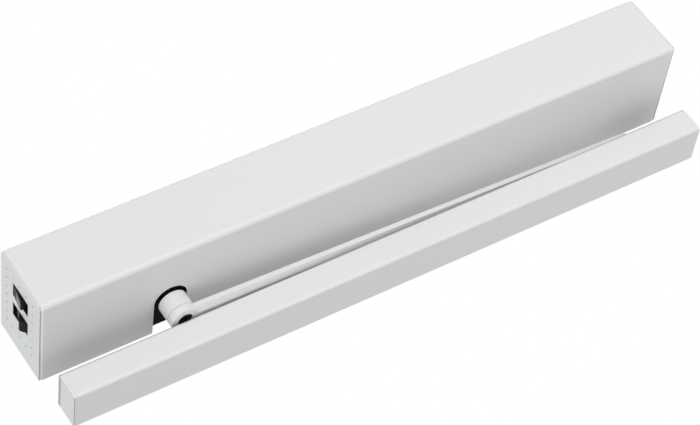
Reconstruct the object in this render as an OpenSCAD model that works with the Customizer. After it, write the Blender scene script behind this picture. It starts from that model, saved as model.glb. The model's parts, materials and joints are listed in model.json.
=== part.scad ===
// Low-profile swing door operator with a slide arm and a door channel.
// X runs along the housing, the wall is the plane y = 0, and +Z is up.
// The origin is the centre of the wall bolt pattern, on the wall plane.

/* [Housing] */
// Length of the housing over both end caps
housing_l = 650; // [640:5:720]
// Depth of the housing from the wall to its front face
housing_d = 98.5; // [97:0.5:110]
// Height of the housing
housing_h = 70; // [70:1:80]
// Wall thickness of the folded cover
cover_t = 1.6; // [1.2:0.1:2]
// Outer radius of the two long front edges of the cover
cover_edge_r = 4.5; // [3:0.5:8]
// Height of the snap ridges inside the cover
snap_ridge_h = 1.8; // [1:0.1:2]
// Distance from the wall to the snap ridges
snap_ridge_y = 12; // [10:0.5:14]
// Radius of the round end of the spindle notch in the underside
notch_r = 16; // [15:0.5:20]

/* [End caps] */
// Part of an end cap that stands out past the cover
cap_lip_t = 1.2; // [0.8:0.1:2]
// Step between the outline of a cap and the outline of the cover
cap_inset = 0.7; // [0.3:0.1:1]
// Thickness of the face of an end cap
cap_face_t = 3; // [2.4:0.1:3.5]
// Length of the rim that plugs into the cover
cap_rim_l = 6; // [4:0.5:6.5]
// Wall thickness of the rim
cap_rim_t = 1.8; // [1.2:0.1:2.4]
// Distance between neighbouring pin marks on a cap
dot_pitch = 11.15; // [10:0.05:11.5]
// Radius of a pin mark
dot_r = 0.9; // [0.5:0.05:1]
// Depth of a pin mark
dot_depth = 1.4; // [0.6:0.1:1.6]
// Distance from the wall to the middle of the ring of pin marks
dot_ring_y = 53.3; // [52:0.1:54]
// Height of the middle of the ring of pin marks above the axis of the housing
dot_ring_z = 0.9; // [0:0.1:2]
// Radius of a screw boss behind a cap
cap_boss_r = 4; // [3.5:0.1:4.5]

/* [Switches] */
// Height of a switch window
window_h = 26.4; // [26:0.1:28]
// Width of a switch window
window_w = 16.2; // [15:0.1:17]
// Distance between the middles of the two windows
window_pitch = 25.6; // [25.4:0.1:27]
// Distance from the wall to the middle of the rear window
window_rear_y = 46.3; // [45:0.1:47]
// Height of the windows' middle above the axis of the housing
window_z = -0.6; // [-1:0.1:0.5]
// Depth of the rocker pivot behind the face of the cap
rocker_pivot_x = 6; // [6:0.1:6.5]
// Radius of a rocker pivot pin
rocker_pin_r = 1.5; // [1:0.1:1.8]
// Gap between a rocker and the frame round it
rocker_gap = 0.2; // [0.15:0.05:0.3]
// Height of the crest of the power rocker above the cap
power_crest_h = 4.1; // [3:0.1:4.3]
// Distance from the middle of the window to the crest of the power rocker
power_crest_z = 5.4; // [4.5:0.1:6]
// Height of the crest of the program rocker above the cap
program_crest_h = 2.5; // [2:0.1:2.8]
// Distance from the middle of the window to the crest of the program rocker
program_crest_z = 4.2; // [3.5:0.1:4.5]
// Depth of the pressed end of a rocker below the cap
rocker_sunk = 2.8; // [2:0.1:3]
// Depth of a switch body behind the cap
switch_depth = 26; // [24:0.5:32]
// Wall thickness of a switch body
switch_wall = 3; // [2.6:0.1:3.1]
// Wall thickness of the frame that lines a window
bezel_t = 0.8; // [0.7:0.05:1]

/* [Wall plate] */
// Thickness of the wall plate
plate_t = 3; // [2.5:0.1:4]
// Height of the wall plate
plate_h = 54; // [50:1:56]
// Gap between the wall plate and the outer end of each cap
plate_end_gap = 5; // [4.5:0.5:8]
// Radius of a wall bolt hole
wall_hole_r = 3.25; // [2.5:0.25:4]
// Distance from an end of the housing to the nearest wall bolt holes
wall_hole_inset = 35; // [33:1:45]
// Distance between the wall bolt holes up the wall
wall_hole_dz = 36; // [30:1:40]
// Distance from the right end of the housing to the cable entry
cable_entry_x = 57; // [54:1:58]
// Radius of the cable hole in the wall plate
cable_hole_r = 11; // [10:0.5:12]
// Radius of the bore of the cable grommet
grommet_bore_r = 7; // [5:0.5:8]

/* [Spindle] */
// Distance from the left end of the housing to the spindle
spindle_inset = 124.4; // [120:0.2:130]
// Distance from the wall to the spindle
spindle_y = 38.2; // [38:0.1:39]
// Radius of the spindle in its bearings
spindle_r = 8; // [7:0.5:9]
// Radius of the spindle where it carries the gears
spindle_mid_r = 9.5; // [9.5:0.1:10]
// Outer radius of a spindle bearing
bearing_r = 16; // [14:0.5:17]
// Width of a spindle bearing
bearing_w = 9; // [8:0.5:9]
// Radius of the sleeve under the housing
sleeve_r = 13.3; // [12:0.1:14]
// Clearance between the underside of the gear case and the sleeve
sleeve_gap = 6; // [4:0.1:6.5]

/* [Gears] */
// Module of all gear teeth
gear_module = 1.5; // [1.5:0.05:1.55]
// Teeth of the large gear on the spindle
gear_teeth = 38; // [36:2:38]
// Teeth of the motor pinion
pinion_teeth = 16; // [16:1:17]
// Teeth of the rack pinion on the spindle
rack_pinion_teeth = 20; // [19:1:20]
// Width of the large gear
gear_face = 12; // [10:0.5:13]
// Height of the spring rack
rack_h = 14; // [12:0.5:15]
// Play between meshing teeth on the pitch line
backlash = 0.2; // [0.15:0.01:0.3]
// Direction from the spindle to the motor pinion, in degrees
pinion_dir = -55; // [-57:0.5:-54]
// Radius of the pinion shaft
pinion_shaft_r = 5; // [4:0.5:5.5]

/* [Gear case] */
// Gap between the cover and the gear case
case_gap = 3.4; // [3:0.1:4]
// Thickness of the lower plate of the gear case
lower_plate_t = 11; // [11:0.5:12]
// Thickness of the upper bearing plate
upper_plate_t = 10; // [9.5:0.5:11]
// Thickness of the rear wall of the gear case
case_wall_t = 4; // [3.5:0.1:4.2]
// Length of the gear case to the left of the spindle
case_left = 46; // [45:0.5:50]
// Length of the gear case to the right of the spindle
case_right = 49; // [48:0.5:50]
// Gap between the front of the cover and the gear case
case_front_gap = 10.9; // [8:0.1:12]
// Radius of a pillar of the gear case
pillar_r = 5; // [4:0.5:5.5]

/* [Motor] */
// Radius of the motor
motor_r = 23; // [21:0.5:24]
// Length of the motor
motor_l = 88; // [80:1:100]
// Radius of the planetary stage
planet_r = 22.5; // [20:0.5:23]
// Length of the planetary stage
planet_l = 34; // [30:1:40]
// Length of the bevel gear box along the motor axis
bevel_box_l = 32; // [30:1:34]
// Width and height of the bevel gear box
bevel_box_w = 48; // [46:1:48]
// Gap between the front of the cover and the bevel gear box
motor_gap = 1.5; // [1:0.1:2]
// Length of the encoder cap
encoder_l = 14; // [10:1:20]

/* [Closing spring] */
// Outer radius of the spring
spring_r = 12.5; // [11:0.1:12.8]
// Diameter of the spring wire
spring_wire = 3.2; // [2.5:0.1:3.4]
// Number of curls
spring_curls = 18; // [14:1:20]
// Length of the spring with the door shut
spring_l = 157; // [150:1:170]
// Distance from the wall to the spring axis
spring_y = 19; // [18.5:0.1:19.5]
// Radius of the guide rod inside the spring
guide_r = 6.5; // [5:0.5:7]
// Radius of the preload screw
preload_r = 5; // [4:0.5:6]

/* [Slide arm] */
// Width of the arm
arm_w = 19.5; // [16:0.5:22]
// Thickness of the arm
arm_t = 7; // [6:0.5:9]
// Distance from the spindle to the pivot pin at the end of the arm
arm_l = 465; // [430:0.5:468]
// Turn of the arm towards the wall with the door shut, in degrees
arm_turn = 2.25; // [2:0.05:2.4]
// Drop from the underside of the housing to the top of the arm
arm_drop = 18; // [14:0.5:30]
// Radius of the round edges of the arm
arm_edge_r = 1.6; // [0.5:0.1:2.5]
// Radius of the recess for the arm screw
recess_r = 7; // [6:0.5:8]
// Depth of the recess for the arm screw
recess_depth = 5; // [4:0.1:5.5]
// Radius of the pivot pin
pivot_r = 5; // [4:0.25:5.5]
// Largest swing of the arm, in degrees
swing_max = 110; // [90:5:110]

/* [Door channel] */
// Length of the channel over its end caps
channel_l = 650; // [640:5:720]
// Depth of the channel from the door plane to its front
channel_d = 41; // [38:0.5:44]
// Height of the channel
channel_h = 27; // [26:0.5:32]
// Free track beyond the slide block with the door shut
rest_travel = 31.75; // [20:0.25:36]
// Gap between the arm and the channel
channel_gap = 2.4; // [1:0.1:4]
// Thickness of the clip-on channel cover
skin_t = 1.4; // [1:0.1:1.6]
// Wall thickness of the channel rail
rail_t = 2.3; // [2:0.1:2.5]
// Thickness of the slotted flange on top of the rail
flange_top_t = 3.4; // [3:0.1:3.8]
// Thickness of the rear web that is screwed to the door
rail_web_t = 3; // [2.5:0.1:3.2]
// Inner width of the sliding track
track_w = 21.8; // [20:0.1:22]
// Inner height of the sliding track
track_h = 11.7; // [10:0.1:12]
// Width of the slot for the pivot pin
slot_w = 11.6; // [11.2:0.1:13]
// Length of the slide block
block_l = 36; // [30:1:50]
// Length of a rubber buffer in the track
buffer_l = 12; // [8:1:16]
// Thickness of a channel end cap
channel_cap_t = 2.5; // [2:0.1:4]
// Radius of a door screw hole in the channel
door_hole_r = 2.75; // [2:0.25:3]
// Distance between the outer door screw holes
door_hole_outer = 560; // [500:5:580]
// Distance between the inner door screw holes
door_hole_inner = 200; // [150:5:240]

/* [Electronics] */
// Length of the control board
board_l = 116; // [114:1:124]
// Height of the control board
board_h = 48; // [46:1:50]
// Thickness of the control board
board_t = 1.6; // [1:0.1:2]
// Gap between the wall plate and the control board
board_gap = 7.4; // [6:0.1:10]
// Gap between the spring abutment and the control board
board_end_gap = 4; // [3:0.5:8]
// Length of the power supply
supply_l = 52; // [46:1:54]
// Depth of the power supply
supply_d = 58; // [50:1:70]
// Height of the power supply
supply_h = 50; // [46:1:54]

/* [Fits] */
// Gap between fixed pieces that plug into each other
plug_gap = 0.15; // [0.1:0.01:0.2]
// Running clearance of a shaft in its bore
run_gap = 0.05; // [0.02:0.01:0.09]
// Sliding clearance beside a flat guide
slide_gap = 0.15; // [0.1:0.01:0.25]

/* [Hidden] */
$fn = 64;
eps = 0.01;

// Housing and plates
half_l = housing_l / 2;
half_h = housing_h / 2;
left = -half_l;
cover_in = half_h - cover_t;
plug_inset = cover_t + plug_gap;
plate_l = housing_l - 2 * plate_end_gap;
bracket_t = 2;
bracket_x = left + cap_face_t + cap_rim_l;
bracket_foot = 16;
bracket_front = housing_d - 8.5;
bracket_h = 60;
bracket_foot_h = 50;
foot_hole_inset = 5;
foot_hole_z = bracket_foot_h / 3;
foot_front = plate_t + bracket_t;
wire_slot_y = 30;
wire_slot_w = 40;
wire_slot_h = 40;
boss_front_y = housing_d - 13.5;
boss_rear_y = 12;
boss_z = 23;
cap_screw_r = 1.5;
small_head_r = 3;
small_head_t = 2;
dot_columns = 7;
dot_rows = 5;
clip_w = 20;
clip_t = 1.2;
clip_hold = 8;
clip_leg_z = cover_in - snap_ridge_h - 0.2;
ridge_w = 1.5;

wall_hole_dx = housing_l - 2 * wall_hole_inset;

// Spindle and gear case heights
spindle_x = left + spindle_inset;
clip_left_inset = 57;
clip_right_inset = 63;
clip_near = 90.6;
clip_far = 260.6;
clip_places = [left + clip_left_inset, spindle_x + clip_near, spindle_x + clip_far,
    half_l - clip_right_inset];
case_z0 = -cover_in + case_gap;
case_z1 = cover_in - case_gap;
lower_top = case_z0 + lower_plate_t;
upper_z = case_z1 - upper_plate_t;
rack_z0 = lower_top + 3;
gear_z0 = rack_z0 + rack_h + 4;
case_y1 = -plate_t - case_wall_t;
case_x0 = spindle_x - case_left;
case_x1 = spindle_x + case_right;
case_front = -housing_d + cover_t + case_front_gap;
pillars = [[-case_left + 9, case_front + 8], [case_right - pillar_r + 1, -52]];
pillar_bore_r = 2;
pillar_bore_l = 12;
plate_screw_r = 2;
plate_screw_grip = 10;
plate_head_r = 3.8;
plate_head_t = 2.6;
bearing_ring_share = 0.3;
key_w = 5;
key_r = spindle_mid_r + 2.3;
circlip_t = 1.2;
spindle_top = case_z1 + 2.4;
sleeve_top = case_z0 - sleeve_gap;
arm_top = -half_h - arm_drop;
arm_z0 = arm_top - arm_t;
sleeve_grip = 11;
key_square = 13;
key_square_h = 4;
arm_screw_r = 4;
screw_engagement = 14;

// Gear train
gear_r = gear_module * gear_teeth / 2;
pinion_r = gear_module * pinion_teeth / 2;
rack_pinion_r = gear_module * rack_pinion_teeth / 2;
addendum = 0.95 * gear_module;
dedendum = 1.25 * gear_module;
pressure = 20;
pinion_x = spindle_x + (gear_r + pinion_r) * cos(pinion_dir);
pinion_y = -spindle_y + (gear_r + pinion_r) * sin(pinion_dir);
pinion_foot = 10;
rack_pitch = PI * gear_module;
rack_line = -spindle_y + rack_pinion_r;
rack_back = -plate_t - case_wall_t - 1.8;
rack_teeth = 11;
rack_rear_teeth = 2;
rack_travel = rack_pinion_r * swing_max * PI / 180;
tooth_x0 = spindle_x + (rack_rear_teeth - rack_teeth + 1) * rack_pitch;
bar_x1 = spindle_x + (rack_rear_teeth + 0.5) * rack_pitch;

// Motor line
motor_y = housing_d - cover_t - motor_gap - bevel_box_w / 2;
box_x0 = spindle_x + case_right + 1.6;
planet_x0 = box_x0 + bevel_box_l;
motor_x0 = planet_x0 + planet_l;
encoder_x0 = motor_x0 + motor_l;
arm_box_r = 14;
encoder_r = motor_r - 4;
groove_x = 0.4 * planet_l;
groove_w = 1;
groove_depth = 0.8;
saddle_x = motor_x0 + 30;
saddle_w = 20;
saddle_t = 4;
saddle_ring = 3;
saddle_z = 13;

// Closing spring
spring_z = rack_z0 + rack_h / 2;
spring_x0 = spindle_x + 35.6;
spring_x1 = spring_x0 + spring_l;
flange_t = 5;
flange_r = 12;
nose_l = 8;
seat_t = 4;
rod_l = spring_l - nose_l - rack_travel - 3;
case_rear_x1 = spring_x0 - flange_t - 1;
spring_front = -spring_y - spring_r - 2.5;
abutment_l = 12;
abutment_x = spring_x1 + seat_t + 1;

// Arm end, slide block and channel
pivot_x = spindle_x + arm_l * cos(arm_turn);
pivot_y = -spindle_y + arm_l * sin(arm_turn);
place_step = 0.01;
block_to_end = block_l / 2 + rest_travel + buffer_l + channel_cap_t;
channel_shift = place_step * round((pivot_x + block_to_end - channel_l / 2) / place_step);
channel_z1 = arm_z0 - channel_gap;
channel_z0 = channel_z1 - channel_h;
channel_x0 = channel_shift - channel_l / 2;
channel_x1 = channel_shift + channel_l / 2;
channel_edge_r = 1.6;
track_z1 = channel_z1 - flange_top_t;
track_z0 = track_z1 - track_h;
floor_z0 = track_z0 - rail_t;
rail_z0 = channel_z0 + skin_t;
rail_front = -channel_d + skin_t + 0.1;
door_hole_z = (floor_z0 + rail_z0) / 2;
rail_x0 = channel_x0 + channel_cap_t;
rail_x1 = channel_x1 - channel_cap_t;
cap_plug_l = 4;
cap_inset_low = 0.3;
hook_w = 1.4;
hook_h = 2.6;
hook_gap = 0.2;
pin_head_r = 7.5;
pin_head_t = 1.5;

// Switch windows, from the front of the housing to the wall
program_y = -window_rear_y - window_pitch;
power_y = -window_rear_y;
pivot_depth_x = left + rocker_pivot_x;
switch_x0 = left + cap_face_t + 0.2;
cavity_w = window_w - 2 * plug_gap - 2 * bezel_t;
cavity_h = window_h - 2 * plug_gap - 2 * bezel_t;
switch_w = cavity_w + 2 * switch_wall;
switch_h = cavity_h + 2 * switch_wall;
rocker_w = cavity_w - 2 * rocker_gap;
rocker_reach = cavity_h / 2 - rocker_gap;
bezel_sunk = 0.3;
rocker_low_angle = 64;
rocker_back_angle = 110;
rocker_high_angle = 77;
pin_end_gap = 0.2;
pin_bore_l = switch_w - 0.8;
rim_w = 1.8;
rim_t = 1.6;
tab_l = 7;
tab_w = 4.8;
tab_t = 0.8;
tab_pitch = 8;

// Electronics
entry_x = half_l - cable_entry_x;
grommet_lip = 2.5;
board_x = abutment_x + abutment_l + board_end_gap;
board_y = -plate_t - board_gap;
board_x1 = board_x + board_l;
board_front = board_y - board_t;
standoff_inset = 5;
standoff_r = 3;
standoff_pin_r = 1.6;
standoff_cap_t = 1.6;
relays = 3;
relay_x = board_x + 10;
relay_z = 2;
relay_pitch = 17;
relay_w = 14;
relay_h = 18;
relay_d = 16;
capacitors = 2;
capacitor_x = board_x + 66;
capacitor_z = 12;
capacitor_pitch = 12;
capacitor_r = 5.5;
capacitor_l = 22;
transformer_place = 86.5;
transformer_x = board_x + transformer_place;
transformer_z = -2;
transformer_w = 20;
transformer_d = 24;
headers = 2;
header_x = board_x + 12;
header_z = -18;
header_pitch = 10;
header_h = 7;
header_l = 22;
header_d = 9;
chip_place = 90;
chip_x = board_x + chip_place;
chip_z = -16;
chip_w = 13;
chip_t = 3;
terminal_ways = 9;
terminal_pitch = 5;
terminal_h = 11;
terminal_d = 12;
supply_x = entry_x - cable_hole_r - grommet_lip - 4.5 - supply_l;
vent_pitch = 7;
vent_w = 3;
vent_depth = 1.2;
vent_margin = 8;

// Draws a shape of the y-z plane and stretches it from x0 to x1
module along_x(x0, x1) {
    translate([x0, 0, 0]) rotate([90, 0, 90]) linear_extrude(x1 - x0) children();
}

// A box from its low corner to its high corner
module block(low, high) {
    translate(low) cube(high - low);
}

// A cylinder along X, from its low end
module rod_x(x0, y, z, r, l) {
    translate([x0, y, z]) rotate([0, 90, 0]) cylinder(r = r, h = l);
}

// A cylinder along Y, from its end nearest the wall towards the front
module rod_y(x, y0, z, r, l) {
    translate([x, y0, z]) rotate([90, 0, 0]) cylinder(r = r, h = l);
}

// Outline of the housing, drawn in by a margin, with its two front edges round
module housing_outline(margin, back) {
    r = max(cover_edge_r - margin, 0.6);
    w = housing_d - margin - back;
    h = housing_h - 2 * margin;
    translate([-housing_d + margin, -h / 2]) {
        translate([r, 0]) square([w - r, h]);
        translate([0, r]) square([r + eps, h - 2 * r]);
        translate([r, r]) circle(r);
        translate([r, h - r]) circle(r);
    }
}

module notch_cut() {
    translate([spindle_x, -spindle_y, -half_h - 1]) {
        cylinder(r = notch_r, h = cover_t + snap_ridge_h + 2);
        translate([-notch_r, 0, 0]) cube([2 * notch_r, spindle_y + 1, cover_t + snap_ridge_h + 2]);
    }
}

// Folded cover: top, front and underside in one shell, open towards the wall
module housing_cover() {
    color([0.92, 0.92, 0.91])
    difference() {
        along_x(left + cap_lip_t, half_l - cap_lip_t) {
            difference() {
                housing_outline(0, 0);
                housing_outline(cover_t, -1);
            }
            for (side = [-1, 1])
                translate([-snap_ridge_y - ridge_w, side > 0 ? cover_in - snap_ridge_h : -cover_in - eps])
                    square([ridge_w, snap_ridge_h + eps]);
        }
        notch_cut();
        for (side = [-1, 1])
            translate([side * (half_l - cap_face_t - cap_rim_l / 2), 0, 0])
                block([-cap_rim_l / 2 - cap_face_t, -snap_ridge_y - ridge_w - 1, -cover_in],
                    [cap_rim_l / 2 + cap_face_t, -snap_ridge_y + 1, cover_in]);
    }
}

// Rings of blind pin marks round the middle of a cap
module pin_marks() {
    for (i = [0 : dot_columns - 1], j = [0 : dot_rows - 1])
        if (i == 0 || i == dot_columns - 1 || j == 0 || j == dot_rows - 1)
            rod_x(left - 1, -dot_ring_y + (i - (dot_columns - 1) / 2) * dot_pitch,
                dot_ring_z + (j - (dot_rows - 1) / 2) * dot_pitch, dot_r, dot_depth + 1);
}

module boss_places() {
    for (y = [-boss_front_y, -boss_rear_y], z = [-boss_z, boss_z])
        translate([0, y, z]) children();
}

// One end cap, drawn at the left end of the housing
module end_cap() {
    difference() {
        union() {
            along_x(left, left + cap_lip_t) housing_outline(cap_inset, 0);
            along_x(left + cap_lip_t - eps, left + cap_face_t) housing_outline(plug_inset, 0);
            along_x(left + cap_face_t - eps, left + cap_face_t + cap_rim_l) difference() {
                housing_outline(plug_inset, 0);
                housing_outline(plug_inset + cap_rim_t, -1);
            }
            boss_places() rod_x(left + cap_face_t - eps, 0, 0, cap_boss_r, cap_rim_l + eps);
        }
        pin_marks();
        boss_places() rod_x(left + cap_face_t, 0, 0, cap_screw_r, cap_rim_l + 1);
    }
}

module left_end_cap() {
    color([0.86, 0.88, 0.89])
    difference() {
        end_cap();
        for (y = [program_y, power_y])
            block([left - 1, y - window_w / 2, window_z - window_h / 2],
                [left + cap_face_t + 1, y + window_w / 2, window_z + window_h / 2]);
    }
}

module right_end_cap() {
    color([0.86, 0.88, 0.89]) mirror([1, 0, 0]) end_cap();
}

// Folded bracket that carries an end cap, drawn at the left end
module end_bracket() {
    foot_x1 = bracket_x + bracket_foot;
    difference() {
        union() {
            block([bracket_x, -bracket_front, -bracket_h / 2],
                [bracket_x + bracket_t, -plate_t, bracket_h / 2]);
            block([bracket_x, -foot_front, -bracket_foot_h / 2], [foot_x1, -plate_t, bracket_foot_h / 2]);
        }
        boss_places() rod_x(bracket_x - 1, 0, 0, cap_screw_r + 0.1, bracket_t + 2);
        for (z = [-1, 1])
            rod_y(foot_x1 - foot_hole_inset, -plate_t + 1, z * foot_hole_z,
                cap_screw_r + 0.1, bracket_t + 2);
    }
}

module left_end_bracket() {
    color([0.72, 0.73, 0.74])
    difference() {
        end_bracket();
        for (y = [program_y, power_y])
            block([bracket_x - 1, y - switch_w / 2 - plug_gap, window_z - switch_h / 2 - plug_gap],
                [bracket_x + bracket_t + 1, y + switch_w / 2 + plug_gap,
                    window_z + switch_h / 2 + plug_gap]);
    }
}

module right_end_bracket() {
    color([0.72, 0.73, 0.74])
    difference() {
        mirror([1, 0, 0]) end_bracket();
        block([-bracket_x - bracket_t - 1, -wire_slot_y - wire_slot_w, -wire_slot_h / 2],
            [-bracket_x + 1, -wire_slot_y, wire_slot_h / 2]);
    }
}

// Places of the four wall bolts
module wall_bolt_places() {
    for (x = [-1, 1], z = [-1, 1])
        translate([x * wall_hole_dx / 2, 0, z * wall_hole_dz / 2]) children();
}

module case_screw_places() {
    for (x = [case_x0 + 8, case_rear_x1 - 5], z = [gear_z0 + 1.5, upper_z - 5])
        translate([x, 0, z]) children();
}

module mounting_plate() {
    color([0.74, 0.75, 0.76])
    difference() {
        block([-plate_l / 2, -plate_t, -plate_h / 2], [plate_l / 2, 0, plate_h / 2]);
        wall_bolt_places() rod_y(0, 1, 0, wall_hole_r, plate_t + 2);
        rod_y(entry_x, 1, 0, cable_hole_r, plate_t + 2);
        for (side = [-1, 1], z = [-1, 1])
            rod_y(side * (bracket_x + bracket_foot - foot_hole_inset), 1, z * foot_hole_z,
                cap_screw_r, plate_t + 2);
        case_screw_places() rod_y(0, 1, 0, cap_screw_r + 0.5, plate_t + 2);
    }
}

// One spring clip at the top edge of the wall plate, with its tongue behind a snap ridge
module cover_clip() {
    block([-clip_w / 2, -plate_t - clip_t, plate_h / 2 - clip_hold], [clip_w / 2, -plate_t, clip_leg_z]);
    block([-clip_w / 2, -snap_ridge_y - 3, clip_leg_z - clip_t], [clip_w / 2, -plate_t, clip_leg_z]);
    block([-clip_w / 2, -snap_ridge_y + 0.2, clip_leg_z - eps],
        [clip_w / 2, -snap_ridge_y + 0.2 + clip_t, cover_in - 0.3]);
}

module cover_clips() {
    color([0.6, 0.61, 0.62])
    for (x = clip_places, flip = [0, 1])
        translate([x, 0, 0]) mirror([0, 0, flip]) cover_clip();
}

// Cast gear case: lower plate with the bearing seat, rear wall, rack guides and pillars
module gear_case() {
    color([0.14, 0.14, 0.15])
    difference() {
        union() {
            block([case_x0, case_front, case_z0], [case_rear_x1, -plate_t, lower_top]);
            block([case_rear_x1 - eps, case_front, case_z0], [case_x1, spring_front, lower_top]);
            block([case_x0, case_y1, case_z0], [case_rear_x1, -plate_t, upper_z]);
            block([case_x0, rack_back + run_gap, rack_z0 - 1],
                [case_rear_x1, case_y1 + eps, rack_z0 + rack_h + 1]);
            block([case_x0, rack_line + dedendum, lower_top - eps],
                [case_rear_x1, case_y1 + eps, rack_z0 - run_gap]);
            for (p = pillars)
                translate([spindle_x + p[0], p[1], lower_top - eps])
                    cylinder(r = pillar_r, h = upper_z - lower_top + eps);
        }
        translate([spindle_x, -spindle_y, lower_top - bearing_w])
            cylinder(r = bearing_r, h = bearing_w + 1);
        translate([spindle_x, -spindle_y, case_z0 - 1]) cylinder(r = spindle_r + 1.5, h = lower_plate_t);
        for (p = pillars)
            translate([spindle_x + p[0], p[1], upper_z - pillar_bore_l])
                cylinder(r = pillar_bore_r, h = pillar_bore_l + 1);
        case_screw_places() rod_y(0, -plate_t + 1, 0, cap_screw_r + 0.5, case_wall_t + 3);
    }
}

module upper_bearing_plate() {
    color([0.14, 0.14, 0.15])
    difference() {
        union() {
            block([case_x0, case_front, upper_z], [case_rear_x1, -plate_t, case_z1]);
            block([case_rear_x1 - eps, case_front, upper_z], [case_x1, spring_front, case_z1]);
        }
        translate([spindle_x, -spindle_y, upper_z - 1]) cylinder(r = bearing_r, h = bearing_w + 1);
        translate([spindle_x, -spindle_y, upper_z]) cylinder(r = spindle_r + 3, h = upper_plate_t + 1);
        translate([pinion_x, pinion_y, upper_z - 1]) cylinder(r = pinion_shaft_r + run_gap, h = 8);
        for (p = pillars)
            translate([spindle_x + p[0], p[1], upper_z - 1])
                cylinder(r = plate_screw_r + 0.2, h = upper_plate_t + 2);
    }
}

module bearing_plate_screws() {
    color([0.3, 0.3, 0.32])
    for (p = pillars)
        translate([spindle_x + p[0], p[1], 0]) {
            translate([0, 0, upper_z - plate_screw_grip])
                cylinder(r = plate_screw_r, h = upper_plate_t + plate_screw_grip + eps);
            translate([0, 0, case_z1]) cylinder(r = plate_head_r, h = plate_head_t);
        }
}

module case_screws() {
    color([0.3, 0.3, 0.32])
    case_screw_places() {
        rod_y(0, -plate_t + 2, 0, cap_screw_r + 0.5, case_wall_t + 2);
        rod_y(0, case_y1, 0, small_head_r, small_head_t);
    }
}

// Deep-groove ball bearing: two rings and their balls, drawn as a closed race
module ball_bearing(z0) {
    ring_t = (bearing_r - spindle_r) * bearing_ring_share;
    translate([spindle_x, -spindle_y, z0]) {
        difference() {
            cylinder(r = bearing_r, h = bearing_w);
            translate([0, 0, -1]) cylinder(r = bearing_r - ring_t, h = bearing_w + 2);
        }
        difference() {
            cylinder(r = spindle_r + ring_t, h = bearing_w);
            translate([0, 0, -1]) cylinder(r = spindle_r + run_gap, h = bearing_w + 2);
        }
        difference() {
            translate([0, 0, 1]) cylinder(r = bearing_r - ring_t + eps, h = bearing_w - 2);
            cylinder(r = spindle_r + ring_t - eps, h = bearing_w);
        }
    }
}

module lower_bearing() {
    color([0.78, 0.78, 0.8]) ball_bearing(lower_top - bearing_w);
}

module upper_bearing() {
    color([0.78, 0.78, 0.8]) ball_bearing(upper_z);
}

// Angle on the involute of a base circle, at a radius
function involute(base, r) = r <= base ? 0 : sqrt(pow(r / base, 2) - 1) * 180 / PI - acos(base / r);

// Points of a spur gear, with a tooth on the +X axis, thinned for the backlash
function gear_points(teeth, pitch_r) =
    let (base = pitch_r * cos(pressure),
        root = pitch_r - dedendum,
        tip = pitch_r + addendum,
        half = 90 / teeth - backlash / 4 / pitch_r * 180 / PI,
        shift = involute(base, pitch_r) + half,
        radii = [root, max(base, root) + 0.2, pitch_r, tip])
    [for (i = [0 : teeth - 1], side = [-1, 1], k = [0 : 3])
        let (r = side < 0 ? radii[k] : radii[3 - k],
            a = i * 360 / teeth + side * (shift - involute(base, r)))
        [r * cos(a), r * sin(a)]];

module spur_gear(teeth, pitch_r, face) {
    linear_extrude(face) polygon(gear_points(teeth, pitch_r));
}

module key_slot(z0, h) {
    translate([spindle_x - key_r, -spindle_y - key_w / 2, z0]) cube([key_r, key_w, h]);
}

// Large gear on the spindle, with a web thinned on both faces
module spindle_gear() {
    web = 3;
    color([0.55, 0.56, 0.58])
    difference() {
        translate([spindle_x, -spindle_y, gear_z0]) difference() {
            rotate([0, 0, pinion_dir]) spur_gear(gear_teeth, gear_r, gear_face);
            translate([0, 0, -1]) cylinder(r = spindle_mid_r, h = gear_face + 2);
            for (z = [-1, gear_face - web])
                translate([0, 0, z]) difference() {
                    cylinder(r = gear_r - 5, h = web + 1);
                    cylinder(r = spindle_mid_r + 5, h = web + 1);
                }
        }
        key_slot(gear_z0 - 1, gear_face + 2);
    }
}

module rack_pinion() {
    color([0.55, 0.56, 0.58])
    difference() {
        translate([spindle_x, -spindle_y, rack_z0 - 0.5]) difference() {
            rotate([0, 0, 90]) spur_gear(rack_pinion_teeth, rack_pinion_r, rack_h + 1);
            translate([0, 0, -1]) cylinder(r = spindle_mid_r, h = rack_h + 3);
        }
        key_slot(rack_z0 - 1, rack_h + 2);
    }
}

module spindle_key() {
    color([0.62, 0.62, 0.64])
    translate([spindle_x - key_r, -spindle_y - key_w / 2, rack_z0 - 0.5])
        cube([key_r - spindle_mid_r + 3, key_w, gear_z0 + gear_face - rack_z0 + 0.5]);
}

// Steel spindle: journals in both bearings, a thicker middle for the gears and a drilled foot
module spindle() {
    foot = sleeve_top - sleeve_grip;
    color([0.6, 0.6, 0.62])
    difference() {
        translate([spindle_x, -spindle_y, 0]) {
            translate([0, 0, foot]) cylinder(r = spindle_r, h = spindle_top - foot);
            translate([0, 0, lower_top + 0.3]) cylinder(r = spindle_mid_r, h = upper_z - lower_top - 0.6);
        }
        translate([spindle_x - key_r, -spindle_y - key_w / 2, rack_z0 - 0.5])
            cube([key_r - spindle_mid_r + 3, key_w, gear_z0 + gear_face - rack_z0 + 0.5]);
        translate([spindle_x, -spindle_y, foot - 1]) cylinder(r = arm_screw_r, h = screw_engagement + 1);
        translate([spindle_x, -spindle_y, case_z1 + 0.2]) difference() {
            cylinder(r = spindle_r + 1, h = circlip_t);
            translate([0, 0, -1]) cylinder(r = spindle_r - 0.8, h = circlip_t + 2);
        }
    }
}

module spindle_circlip() {
    color([0.3, 0.3, 0.32])
    translate([spindle_x, -spindle_y, case_z1 + 0.2]) difference() {
        cylinder(r = spindle_r + 2, h = circlip_t);
        translate([0, 0, -1]) cylinder(r = spindle_r - 0.8, h = circlip_t + 2);
        translate([0, -1.5, -1]) cube([spindle_r + 3, 3, circlip_t + 2]);
    }
}

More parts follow.
